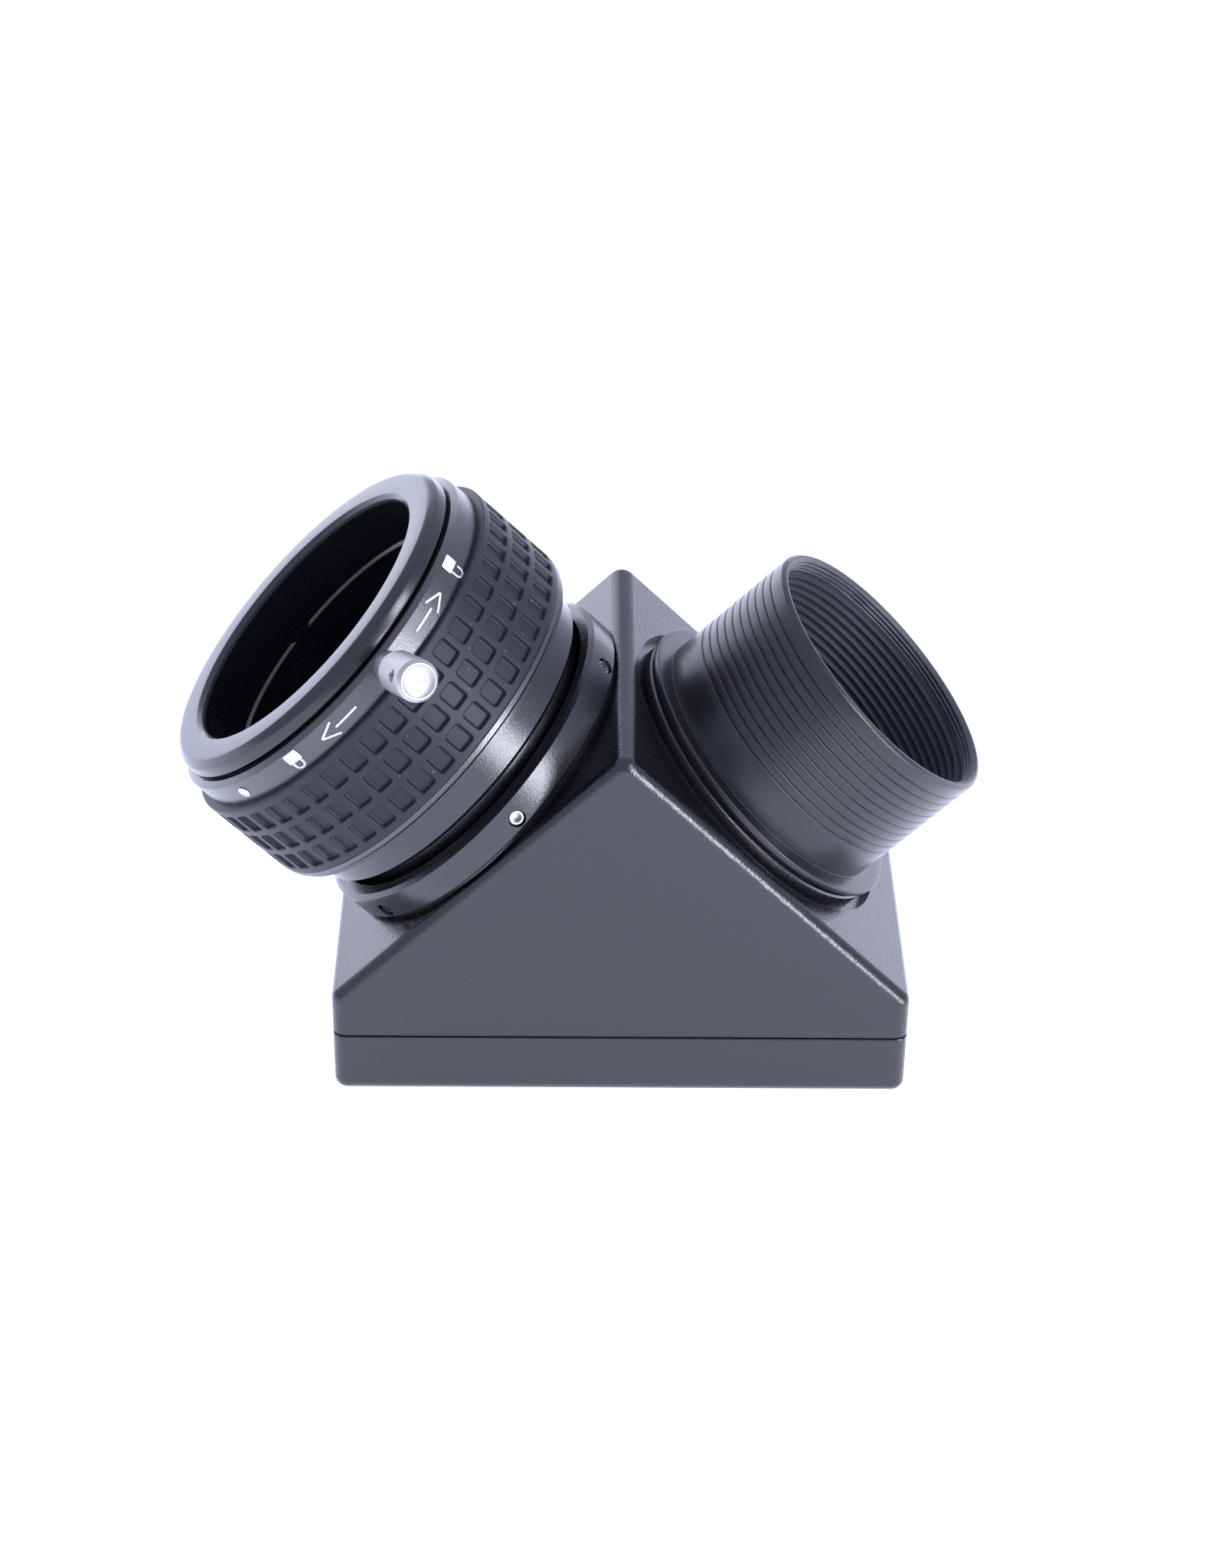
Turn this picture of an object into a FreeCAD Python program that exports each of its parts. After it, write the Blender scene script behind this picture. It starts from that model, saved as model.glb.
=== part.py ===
import FreeCAD, Part
import math
import os
import Sketcher

# Star diagonal: a prism-shaped housing with a 45 degree mirror, a nosepiece on its right port and a
# twist-lock eyepiece clamp on its left port. Millimetres, +Z up, origin at the centre of the base's
# underside, X along the line through both ports, Y towards the back.

PARTS_FOLDER = "parts"
HALF_SQUARE = math.sqrt(0.5)
PORT_ANGLE = 45.0

# ---------------------------------------------------------------- driving sizes
# Each line: name, millimetres (degrees for an angle), what it is.
SIZES = [
    ("housing_width", 100.0, "housing, left to right"),
    ("housing_depth", 66.4, "housing, front to back"),
    ("cover_thickness", 12.5, "base cover, underside to seam"),
    ("band_height", 7.5, "upright wall between the seam and the slopes"),
    ("side_wall", 4.5, "housing wall, front, back and sides"),
    ("slope_wall", 5.0, "housing wall under the slopes"),
    ("edge_round", 2.2, "rounding of the housing's outer edges"),
    ("ridge_round", 2.8, "rounding of the top ridge"),
    ("seam_round", 0.3, "rounding of both edges of the seam"),
    ("seam_gap", 0.45, "shadow gap under the seam, high"),
    ("seam_inset", 1.0, "shadow gap under the seam, deep"),
    ("cover_screw_inset", 7.0, "cover screw centre, in from the outer faces"),
    ("cover_screw_radius", 2.0, "M4 screw"),
    ("cover_screw_play", 0.2, "clearance hole for it, all round"),
    ("cover_screw_socket", 1.1, "its hexagon socket"),
    ("cover_screw_socket_depth", 1.4, "its hexagon socket"),
    ("cover_screw_head", 3.9, "countersunk head radius"),
    ("cover_screw_grip", 7.0, "screw length in the housing's boss"),
    ("cover_screw_sink", 0.4, "head below the underside"),
    ("boss_radius", 4.5, "screw boss inside the housing"),
    ("boss_height", 9.0, "screw boss above the seam"),
    ("seal_width", 1.2, "light-seal cord, across"),
    ("seal_height", 0.8, "light-seal cord, groove depth"),
    ("mirror_thickness", 7.0, "mirror glass"),
    ("coating_thickness", 0.1, "reflecting coat on the glass"),
    ("cell_end_gap", 0.5, "mirror cell to the screw bosses"),
    ("cell_side_gap", 2.7, "mirror cell to the housing's front and back walls"),
    ("cell_end_wall", 2.5, "mirror cell beyond the glass, left and right"),
    ("cell_side_wall", 1.0, "mirror cell beyond the glass, front and back"),
    ("cell_height", 6.5, "mirror cell above the cover"),
    ("cell_floor", 2.6, "mirror cell under the glass"),
    ("mirror_gap", 0.2, "mirror to cell wall, all round"),
    ("cell_screw_inset", 4.5, "cell screw centre, in from the cell's edges"),
    ("cell_screw_radius", 1.5, "M3 screw"),
    ("cell_screw_head", 2.75, "M3 cap head radius"),
    ("cell_screw_head_height", 1.6, "low cap head"),
    ("cell_screw_length", 6.0, "M3 screw in the cover"),
    ("cell_screw_play", 0.15, "cell hole and counterbore round the screw"),
    ("cell_head_sink", 0.2, "cap head below the cell's top"),
    ("clip_screw_radius", 1.0, "M2 screw"),
    ("clip_screw_head", 1.7, "M2 cap head radius"),
    ("clip_screw_head_height", 0.9, "M2 low cap head"),
    ("clip_screw_length", 3.0, "M2 screw in the cell"),
    ("clip_screw_inset", 3.5, "clip screw centre, in from the cell's front and back"),
    ("clip_width", 6.0, "mirror clip, across"),
    ("clip_bend", 3.0, "mirror clip, screw to its upright step"),
    ("clip_reach", 7.9, "mirror clip, screw to tip"),
    ("clip_sheet", 0.5, "mirror clip, spring sheet"),
    ("nose_radius", 25.4, "2 inch nosepiece, outside"),
    ("nose_thread_step", 0.6, "nosepiece's thread beyond its barrel"),
    ("port_spigot_wall", 1.2, "port ring's spigot round that thread"),
    ("port_ring_wall", 2.3, "port ring round that thread"),
    ("port_ring_rise", 1.4, "port ring above the slope"),
    ("port_ring_lip", 2.0, "port ring's inner lip, in from its thread"),
    ("port_ring_lip_height", 0.8, "port ring's inner lip"),
    ("recess_gap", 1.7, "recess round the port ring"),
    ("recess_depth", 1.5, "recess round the port ring"),
    ("nose_length", 26.4, "nosepiece from flange to rim"),
    ("nose_flange_width", 3.4, "nosepiece flange beyond the barrel"),
    ("nose_flange_height", 1.2, "nosepiece flange"),
    ("nose_neck_inset", 2.0, "nosepiece, shadow groove in from the flange"),
    ("nose_neck_height", 1.0, "nosepiece, shadow groove under the flange"),
    ("nose_spigot_gap", 0.2, "nosepiece's thread to the port ring's lip"),
    ("nose_rim_round", 0.7, "nosepiece, bevel of the rim"),
    ("nose_wall", 1.65, "nosepiece wall at the filter thread's mean radius"),
    ("nose_bore_step", 0.85, "baffled bore in from the filter thread"),
    ("filter_thread_depth", 3.75, "M48 filter thread and the relief behind it"),
    ("filter_mouth", 0.55, "lead-in bevel of the filter thread"),
    ("baffle_depth", 0.5, "baffle grooves in the bore"),
    ("baffle_pitch", 1.5, "baffle grooves in the bore"),
    ("nose_groove_first", 3.1, "first outside groove, from the rim"),
    ("nose_groove_pitch", 1.79, "outside grooves"),
    ("nose_groove_width", 0.36, "outside grooves"),
    ("nose_groove_depth", 0.22, "outside grooves"),
    ("eyepiece_radius", 25.4, "2 inch eyepiece barrel, outside"),
    ("bore_gap", 0.5, "eyepiece to the bore ahead of and behind the jaws"),
    ("sleeve_wall", 2.1, "clamp sleeve round the bore"),
    ("stop_shelf", 1.9, "shoulder that stops the eyepiece, in from the bore"),
    ("left_spigot_wall", 3.2, "change ring's spigot round the light path"),
    ("socket_step", 1.7, "dovetail socket beyond the sleeve"),
    ("change_ring_wall", 3.0, "change ring round the dovetail socket"),
    ("change_ring_rise", 6.6, "change ring above the slope"),
    ("change_ring_gap", 0.8, "shadow gap under the change ring"),
    ("change_ring_undercut", 1.2, "depth of that shadow gap"),
    ("change_ring_bevel", 0.9, "change ring, top edge"),
    ("dovetail_gap", 0.1, "dovetail to socket, all round"),
    ("dovetail_height", 3.0, "dovetail cone"),
    ("dovetail_slope", 0.5, "dovetail cone, inwards per millimetre of height"),
    ("set_screw_radius", 1.5, "M3 set screw"),
    ("set_screw_height", 2.8, "set screw axis above the slope"),
    ("set_screw_sink", 0.5, "set screw below the rim"),
    ("set_screw_point_gap", 0.05, "set screw's point to the dovetail"),
    ("set_screw_socket", 0.87, "hexagon socket, across corners, half"),
    ("set_screw_socket_depth", 1.0, "hexagon socket"),
    ("dovetail_foot", 1.7, "clamp body's foot above the slope"),
    ("stop_rise", 4.2, "eyepiece stop above the slope"),
    ("body_band_inset", 0.3, "band of the clamp body, in from the cam cavity"),
    ("body_band_bevel", 0.8, "band's lower bevel"),
    ("body_band_foot", 9.05, "band's lower edge above the slope"),
    ("body_flange_inset", 0.7, "rear flange, in from the lock ring's lip"),
    ("body_flange_foot", 15.5, "rear flange above the slope"),
    ("body_flange_height", 0.65, "rear flange"),
    ("rear_gap", 0.4, "rear flange to lock ring"),
    ("bearing_gap", 0.06, "running clearance of the lock ring"),
    ("rear_bearing_height", 3.05, "rear bearing of the clamp body"),
    ("cam_ring_wall", 1.0, "cam ring outside the cam surface"),
    ("lock_wall", 1.4, "lock ring under the rubber"),
    ("lock_lip_width", 2.3, "lock ring, rear lip beyond the rubber's seat"),
    ("lock_lip_height", 1.0, "lock ring, rear lip"),
    ("grip_wall", 2.45, "rubber grip"),
    ("grip_length", 17.95, "rubber grip"),
    ("grip_crown", 0.35, "rubber grip, rounding of its ends"),
    ("lock_band_width", 1.05, "lock ring, printed band beyond the rubber's seat"),
    ("lock_band_height", 5.0, "lock ring, printed band"),
    ("lock_band_bevel", 0.7, "lock ring, front bevel along the axis"),
    ("lock_face_inset", 1.3, "lock ring, front face in from the band"),
    ("front_gap", 0.8, "lock ring to front collar"),
    ("collar_inset", 0.25, "front collar's rear edge, in from the lock ring's face"),
    ("collar_rim", 1.5, "front collar, bevel across the axis"),
    ("collar_height", 2.87, "front collar"),
    ("collar_bevel", 1.1, "front collar, bevel along the axis"),
    ("collar_mouth", 0.7, "front collar, bevel of the bore"),
    ("collar_thread_height", 1.5, "front collar on the sleeve"),
    ("jaw_clearance", 0.05, "eyepiece to the released jaws"),
    ("jaw_step", 1.2, "jaws beyond the sleeve"),
    ("jaw_spacing", 0.94, "jaw's side, in from where neighbouring jaws would meet"),
    ("jaw_gap", 0.2, "jaw to the side of its window"),
    ("jaw_end_gap", 0.1, "jaw to the ends of its window"),
    ("jaw_top_drop", 9.9, "jaws' top below the collar's face"),
    ("jaw_length", 13.9, "jaws along the axis"),
    ("jaw_mouth", 0.5, "jaws, bevel of the bore"),
    ("jaw_travel", 0.6, "jaws, from released to locked"),
    ("lock_turn", 25.0, "lock ring, from released to locked, degrees"),
    ("follower_radius", 1.5, "cam follower pin"),
    ("follower_depth", 1.5, "cam follower pin in the jaw"),
    ("follower_drop", 17.0, "cam follower below the collar's face"),
    ("cam_gap", 0.12, "follower to cam"),
    ("cam_height", 6.0, "cam ring along the axis"),
    ("cam_step", 1.4, "cam surface beyond the released jaw"),
    ("cam_relief", 0.4, "cam ring between the ramps, beyond that surface"),
    ("cam_margin", 4.0, "cam ramp beyond each limit, degrees"),
    ("stop_pin_radius", 1.0, "stop pin"),
    ("stop_pin_rise", 1.3, "stop pin above the sleeve"),
    ("stop_slot_depth", 1.6, "stop slot's floor above the sleeve"),
    ("stop_slot_width", 2.4, "stop slot along the axis"),
    ("stop_play", 0.4, "stop pin beyond each limit, degrees"),
    ("lever_clearance", 0.1, "lever's neck to the rubber grip"),
    ("lever_spot_gap", 0.05, "spot face round the lever's neck"),
    ("lever_spot_depth", 0.65, "spot face under the lever, in the lock ring"),
    ("lever_neck_radius", 2.5, "lever knob, neck"),
    ("lever_neck_length", 4.0, "lever knob, neck"),
    ("lever_flare_length", 2.6, "lever knob, neck to head"),
    ("lever_radius", 3.55, "lever knob, head"),
    ("lever_length", 17.0, "lever knob"),
    ("lever_round", 0.5, "lever knob, edge of the end"),
    ("lever_hole_radius", 1.0, "cross hole through the lever knob"),
    ("lever_hole_inset", 3.2, "cross hole from the knob's end"),
    ("lever_stud_radius", 1.5, "lever stud"),
    ("lever_stud_depth", 7.0, "lever stud inside the knob"),
    ("washer_inset", 1.3, "front slip washer, in from the collar"),
    ("washer_height", 0.62, "front slip washer"),
    ("slip_ring_inset", 1.3, "rear slip ring, in from the lock ring's lip"),
    ("slip_ring_height", 0.28, "rear slip ring"),
    ("fit_gap", 0.02, "screw or pin in its hole, all round"),
    ("edge_break", 0.3, "small bevels of the turned pieces"),
]

CORNER_SIDES = [(-1, -1), (1, -1), (1, 1), (-1, 1)]
BAFFLE_COUNT = 14
NOSE_GROOVE_COUNT = 10
SET_SCREW_COUNT = 6
SET_SCREW_START = -9.5
JAW_COUNT = 3
CLAMP_PHASE = 61.5
LEVER_ANGLE = 238.6
CLIP_SHARE = 0.76       # clip centre as a share of the mirror's long half
SOCKET_SHARE = 0.6      # cap screw's hexagon socket as a share of its shank and head
POINT_SHARE = 0.4       # set screw's blunt point as a share of its radius
BEVEL_SHARE = 0.7       # height of the change ring's bevel as a share of its width
SOFT_SHARE = 0.3        # middle corner of a two-step rounding as a share of its size
CREST_SHARE = 0.2       # baffle crest as a share of the baffle pitch
OVERCUT = 4.0           # how far a tool runs past thick or slanting material
PAST = 1.0              # how far a tool runs past a flat face
TAP_ROOM = 0.5          # tapped hole beyond its screw


class Size:
    """A length with its number and the sheet expression that gives it."""

    def __init__(self, value, text):
        self.value = value
        self.text = text

    def __add__(self, other):
        other = as_size(other)
        return Size(self.value + other.value, f"({self.text} + {other.text})")

    def __sub__(self, other):
        other = as_size(other)
        return Size(self.value - other.value, f"({self.text} - {other.text})")

    def __mul__(self, factor):
        return Size(self.value * factor, f"({self.text} * {factor!r})")

    def __neg__(self):
        return self * -1.0


def as_size(number):
    """A plain number as a Size; a Size is passed through."""
    return number if isinstance(number, Size) else Size(float(number), repr(float(number)))


document = FreeCAD.newDocument("StarDiagonal")


def make_sheet():
    """Put every driving size on the sheet and return them by name."""
    sheet = document.addObject("Spreadsheet::Sheet", "Sizes")
    for row, (name, value, meaning) in enumerate(SIZES, start=1):
        sheet.set(f"A{row}", meaning)
        sheet.set(f"B{row}", str(value))
        sheet.setAlias(f"B{row}", name)
    document.recompute()
    return {name: Size(float(value), f"Sizes.{name}") for name, value, meaning in SIZES}


size = make_sheet()

# ---------------------------------------------------------------- places worked out from the sizes
# housing, mirror cell and mirror
half_width = size["housing_width"] * 0.5
half_depth = size["housing_depth"] * 0.5
seam = size["cover_thickness"]
seam_gap_foot = seam - size["seam_gap"]
shoulder = seam + size["band_height"]
peak = shoulder + half_width
axis_height = seam + size["cell_floor"] + size["mirror_thickness"] + size["coating_thickness"]
seat = (peak - axis_height) * HALF_SQUARE
cover_screw_x = half_width - size["cover_screw_inset"]
cover_screw_y = half_depth - size["cover_screw_inset"]
cell_half_length = cover_screw_x - size["boss_radius"] - size["cell_end_gap"]
cell_half_depth = half_depth - size["side_wall"] - size["cell_side_gap"]
cell_top = seam + size["cell_height"]
cell_head_level = cell_top - size["cell_screw_head_height"] - size["cell_head_sink"]
mirror_foot = seam + size["cell_floor"]
mirror_half_long = cell_half_length - size["cell_end_wall"]
mirror_half_short = cell_half_depth - size["cell_side_wall"]

# right port: radii outwards from the barrel, then places along the axis
nose_thread = size["nose_radius"] + size["nose_thread_step"]
port_bore_right = nose_thread + size["port_spigot_wall"]
port_ring_radius = nose_thread + size["port_ring_wall"]
recess_radius = port_ring_radius + size["recess_gap"]
nose_flange_radius = size["nose_radius"] + size["nose_flange_width"]
filter_thread_radius = size["nose_radius"] - size["nose_wall"]
nose_bore = filter_thread_radius - size["nose_bore_step"]
port_ring_top = seat + size["port_ring_rise"]
nose_flange_foot = port_ring_top + size["nose_neck_height"]
nose_foot = nose_flange_foot + size["nose_flange_height"]
nose_rim = nose_foot + size["nose_length"]
port_floor = seat - size["slope_wall"]

# left port: radii outwards from the eyepiece, then places along the axis
eyepiece_bore = size["eyepiece_radius"] + size["bore_gap"]
jaw_bore = size["eyepiece_radius"] + size["jaw_clearance"]
stop_bore = eyepiece_bore - size["stop_shelf"]
port_bore_left = stop_bore + size["left_spigot_wall"]
sleeve_radius = eyepiece_bore + size["sleeve_wall"]
socket_radius = sleeve_radius + size["socket_step"]
change_ring_radius = socket_radius + size["change_ring_wall"]
jaw_radius = sleeve_radius + size["jaw_step"]
jaw_half_width = jaw_bore * math.sin(math.radians(180.0 / JAW_COUNT)) - size["jaw_spacing"]
cam_reach = jaw_radius + size["cam_step"]
cam_cavity_radius = cam_reach + size["cam_ring_wall"]
grip_seat_radius = cam_cavity_radius + size["lock_wall"]
grip_radius = grip_seat_radius + size["grip_wall"]
lock_lip_radius = grip_seat_radius + size["lock_lip_width"]
lock_band_radius = grip_seat_radius + size["lock_band_width"]
lock_face_radius = lock_band_radius - size["lock_face_inset"]
collar_radius = lock_face_radius - size["collar_inset"]
body_band_radius = cam_cavity_radius - size["body_band_inset"]
rear_bearing_radius = cam_cavity_radius - size["bearing_gap"]
stop_pin_foot = eyepiece_bore + size["edge_break"]
lever_spot_floor = lock_band_radius - size["lever_spot_depth"]
change_top = seat + size["change_ring_rise"]
flange_foot = seat + size["body_flange_foot"]
flange_top = flange_foot + size["body_flange_height"]
lock_rear = flange_top + size["rear_gap"]
grip_rear = lock_rear + size["lock_lip_height"]
lock_step = grip_rear + size["grip_length"]
lock_front = lock_step + size["lock_band_height"]
collar_rear = lock_front + size["front_gap"]
collar_face = collar_rear + size["collar_height"]
sleeve_end = collar_rear + size["collar_thread_height"]
bearing_top = flange_top + size["rear_bearing_height"]
jaw_top = collar_face - size["jaw_top_drop"]
jaw_foot = jaw_top - size["jaw_length"]
window_top = jaw_top + size["jaw_end_gap"]
window_foot = jaw_foot - size["jaw_end_gap"]
front_bearing_foot = window_top + size["edge_break"]
follower_level = collar_face - size["follower_drop"]
lever_level = lock_step + size["lever_neck_radius"] + size["lever_clearance"]
follower_tip = cam_reach - size["cam_gap"]
follower_seat = jaw_radius - size["follower_depth"]
set_screw_level = seat + size["set_screw_height"]
set_screw_outer = change_ring_radius - size["set_screw_sink"]


# ---------------------------------------------------------------- placements
def turned_about(axis, angle):
    return FreeCAD.Rotation(FreeCAD.Vector(*axis), angle)


def port_placement(side, phase=0.0):
    """Local Z along a port's axis from the crossing of both axes; side is -1 left, 1 right."""
    rotation = turned_about((0, 1, 0), side * PORT_ANGLE) * turned_about((0, 0, 1), phase)
    return FreeCAD.Placement(FreeCAD.Vector(0, 0, axis_height.value), rotation)


def across(angle, level, start):
    """Local Z pointing straight out from the port's axis at an angle, from a radius and level."""
    radians = math.radians(angle)
    base = FreeCAD.Vector(start * math.cos(radians), start * math.sin(radians), level)
    rotation = turned_about((0, 0, 1), angle) * turned_about((0, 1, 0), 90)
    return FreeCAD.Placement(base, rotation)


def upright(x, y, z):
    """Local axes along the document's, moved to a spot."""
    return FreeCAD.Placement(FreeCAD.Vector(x, y, z), FreeCAD.Rotation())


def corner_spots(x, y):
    """The four spots at plus and minus x and y."""
    return [(side_x * x.value, side_y * y.value) for side_x, side_y in CORNER_SIDES]


COVER_SCREW_SPOTS = corner_spots(cover_screw_x, cover_screw_y)
CELL_SCREW_SPOTS = corner_spots(cell_half_length - size["cell_screw_inset"],
                                cell_half_depth - size["cell_screw_inset"])
CLIP_SPOTS = corner_spots(mirror_half_long * CLIP_SHARE, cell_half_depth - size["clip_screw_inset"])
RIGHT_PORT = port_placement(1)
LEFT_PORT = port_placement(-1)
CLAMP = port_placement(-1, CLAMP_PHASE)


# ---------------------------------------------------------------- builders
def bind(item, **properties):
    """Hold properties of an object to sheet expressions."""
    for name, length in properties.items():
        length = as_size(length)
        setattr(item, name, length.value)
        item.setExpression(name, length.text)


def origin_plane(body, role):
    for feature in body.Origin.OriginFeatures:
        if feature.Role == role:
            return feature
    raise ValueError("no origin feature " + role)


def new_body(label, placement=None):
    body = document.addObject("PartDesign::Body", label)
    body.Label = label
    if placement is not None:
        body.Placement = placement
    return body


def outline(body, name, plane, corners):
    """A closed straight-sided sketch; each corner is held at its own two distances."""
    sketch = body.newObject("Sketcher::SketchObject", name)
    sketch.AttachmentSupport = [(origin_plane(body, plane), "")]
    sketch.MapMode = "FlatFace"
    corners = [(as_size(x), as_size(y)) for x, y in corners]
    points = [FreeCAD.Vector(x.value, y.value, 0) for x, y in corners]
    count = len(points)
    for index in range(count):
        sketch.addGeometry(Part.LineSegment(points[index], points[(index + 1) % count]))
    for index in range(count):
        sketch.addConstraint(Sketcher.Constraint("Coincident", index, 2, (index + 1) % count, 1))
    for index, (x, y) in enumerate(corners):
        for kind, length in (("DistanceX", x), ("DistanceY", y)):
            constraint = Sketcher.Constraint(kind, -1, 1, index, 1, length.value)
            number = sketch.addConstraint(constraint)
            sketch.setExpression(f"Constraints[{number}]", length.text)
    return sketch


def turned(label, corners, placement):
    """A turned piece: (radius, level) corners spun about local Z."""
    body = new_body(label, placement)
    sketch = outline(body, label + "_profile", "XZ_Plane", corners)
    spin = body.newObject("PartDesign::Revolution", label + "_turned")
    spin.Profile = sketch
    spin.ReferenceAxis = (sketch, ["V_Axis"])
    spin.Angle = 360.0
    sketch.Visibility = False
    return body


def ring_corners(inner, outer, low, high):
    return [(inner, low), (outer, low), (outer, high), (inner, high)]


def block_corners(half_x, half_y):
    return [(-half_x, -half_y), (half_x, -half_y), (half_x, half_y), (-half_x, half_y)]


def round_tool(body, name, subtract, placement, radius, length):
    """A cylinder added to a body or cut from it."""
    kind = "PartDesign::SubtractiveCylinder" if subtract else "PartDesign::AdditiveCylinder"
    tool = body.newObject(kind, name)
    bind(tool, Radius=radius, Height=length)
    tool.Placement = placement
    return tool


def cone_tool(body, name, placement, low_radius, high_radius, length):
    tool = body.newObject("PartDesign::SubtractiveCone", name)
    bind(tool, Radius1=low_radius, Radius2=high_radius, Height=length)
    tool.Placement = placement
    return tool


def padded(body, name, sketch, length, symmetric=False):
    pad = body.newObject("PartDesign::Pad", name)
    pad.Profile = sketch
    bind(pad, Length=length)
    pad.Midplane = symmetric
    sketch.Visibility = False
    return pad


def pocketed(body, name, sketch, length, symmetric=False, upwards=False):
    pocket = body.newObject("PartDesign::Pocket", name)
    pocket.Profile = sketch
    bind(pocket, Length=length)
    pocket.Midplane = symmetric
    pocket.Reversed = upwards
    sketch.Visibility = False
    return pocket


def edges_where(feature, wanted):
    """Names of a feature's edges whose bounding box answers a question."""
    document.recompute()
    names = []
    for number, edge in enumerate(feature.Shape.Edges, start=1):
        if wanted(edge.BoundBox):
            names.append(f"Edge{number}")
    return names


def rounded(body, name, feature, wanted, radius):
    fillet = body.newObject("PartDesign::Fillet", name)
    fillet.Base = (feature, edges_where(feature, wanted))
    bind(fillet, Radius=radius)
    document.recompute()
    return fillet


def near(first, second):
    return abs(first - second) < 1e-4


def group(label, pieces):
    """Separate solids kept as one named piece."""
    compound = document.addObject("Part::Compound", label)
    compound.Label = label
    compound.Links = pieces
    return compound


# ---------------------------------------------------------------- housing
def make_housing():
    """The prism-shaped shell: rounded outside, hollow inside, four screw bosses and two slanting ports."""
    body = new_body("housing")
    outer = outline(body, "housing_outline", "XZ_Plane", [
        (-half_width, seam), (half_width, seam), (half_width, shoulder),
        (0, peak), (-half_width, shoulder)])
    block = padded(body, "housing_block", outer, size["housing_depth"], symmetric=True)
    top = peak.value
    floor = seam.value
    ridge = rounded(body, "housing_ridge", block,
                    lambda box: near(box.ZMin, top) and near(box.ZMax, top), size["ridge_round"])
    edges = rounded(body, "housing_edges", ridge,
                    lambda box: box.ZMax > floor + PAST and not near(box.YLength, size["housing_depth"].value)
                    or near(box.ZMin, shoulder.value) and near(box.ZMax, shoulder.value),
                    size["edge_round"])
    rounded(body, "housing_seam_edge", edges,
            lambda box: near(box.ZMax, floor), size["seam_round"])

    inner_x = half_width - size["side_wall"]
    inner_peak = peak - size["slope_wall"] * math.sqrt(2.0)
    cavity = outline(body, "housing_cavity_outline", "XZ_Plane", [
        (-inner_x, seam), (inner_x, seam), (inner_x, inner_peak - inner_x),
        (0, inner_peak), (-inner_x, inner_peak - inner_x)])
    pocketed(body, "housing_cavity", cavity, size["housing_depth"] - size["side_wall"] * 2.0, symmetric=True)

    for number, (x, y) in enumerate(COVER_SCREW_SPOTS, start=1):
        spot = upright(x, y, seam.value)
        round_tool(body, f"housing_boss_{number}", False, spot, size["boss_radius"], size["boss_height"])
        round_tool(body, f"housing_tap_{number}", True, spot,
                   size["cover_screw_radius"] + size["fit_gap"], size["cover_screw_grip"] + TAP_ROOM)

    for side, name, bore in ((-1, "left", port_bore_left), (1, "right", port_bore_right)):
        start = port_placement(side) * upright(0, 0, (port_floor - OVERCUT).value)
        round_tool(body, f"housing_port_{name}", True, start, bore, size["slope_wall"] + 2.0 * OVERCUT)
    recess = RIGHT_PORT * upright(0, 0, (seat - size["recess_depth"]).value)
    round_tool(body, "housing_recess", True, recess, recess_radius, size["recess_depth"] + OVERCUT)
    return body


# ---------------------------------------------------------------- base cover, its seal and screws
def make_base_cover():
    """The flat cover, with a shadow gap under the seam, a groove for the light seal and holes for its
    own and the cell's screws."""
    body = new_body("base_cover")
    face = outline(body, "cover_outline", "XY_Plane", block_corners(half_width, half_depth))
    plate = padded(body, "cover_plate", face, seam_gap_foot)
    edges = rounded(body, "cover_edges", plate,
                    lambda box: box.ZLength > PAST or near(box.ZMax, 0), size["edge_round"])
    rounded(body, "cover_seam_edge", edges,
            lambda box: near(box.ZMin, seam_gap_foot.value), size["seam_round"])
    land = body.newObject("PartDesign::AdditiveBox", "cover_land")
    land_x = half_width - size["seam_inset"]
    land_y = half_depth - size["seam_inset"]
    bind(land, Length=land_x * 2.0, Width=land_y * 2.0, Height=size["seam_gap"])
    land.Placement = upright(-land_x.value, -land_y.value, seam_gap_foot.value)

    groove_floor = (seam - size["seal_height"]).value
    length, depth = seal_middle()
    half_seal = size["seal_width"] * 0.5
    walls = [(length, half_seal, 0, depth.value), (length, half_seal, 0, -depth.value),
             (half_seal, depth, length.value, 0), (half_seal, depth, -length.value, 0)]
    for number, (half_x, half_y, x, y) in enumerate(walls, start=1):
        half_x = half_x + half_seal if half_x is length else half_x
        half_y = half_y + half_seal if half_y is depth else half_y
        trough = body.newObject("PartDesign::SubtractiveBox", f"cover_seal_groove_{number}")
        bind(trough, Length=half_x * 2.0, Width=half_y * 2.0, Height=size["seal_height"] + PAST)
        trough.Placement = upright(x - half_x.value, y - half_y.value, groove_floor)

    head_top = size["cover_screw_head"] - size["cover_screw_radius"]
    for number, (x, y) in enumerate(COVER_SCREW_SPOTS, start=1):
        below = upright(x, y, -PAST)
        round_tool(body, f"cover_screw_hole_{number}", True, below,
                   size["cover_screw_radius"] + size["cover_screw_play"],
                   size["cover_thickness"] + 2.0 * PAST)
        round_tool(body, f"cover_screw_mouth_{number}", True, below,
                   size["cover_screw_head"] + size["fit_gap"], size["cover_screw_sink"] + PAST)
        cone_tool(body, f"cover_screw_sink_{number}", upright(x, y, size["cover_screw_sink"].value),
                  size["cover_screw_head"] + size["fit_gap"], size["cover_screw_radius"] + size["fit_gap"],
                  head_top)
    for number, (x, y) in enumerate(CELL_SCREW_SPOTS, start=1):
        hole = upright(x, y, (seam - size["cell_screw_length"] - TAP_ROOM).value)
        round_tool(body, f"cover_cell_tap_{number}", True, hole,
                   size["cell_screw_radius"] + size["fit_gap"],
                   size["cell_screw_length"] + TAP_ROOM + PAST)
    return body


def seal_middle():
    """Half length and half depth of the light seal's centre line, in the middle of the wall."""
    inset = size["side_wall"] * 0.5
    return half_width - inset, half_depth - inset


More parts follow.
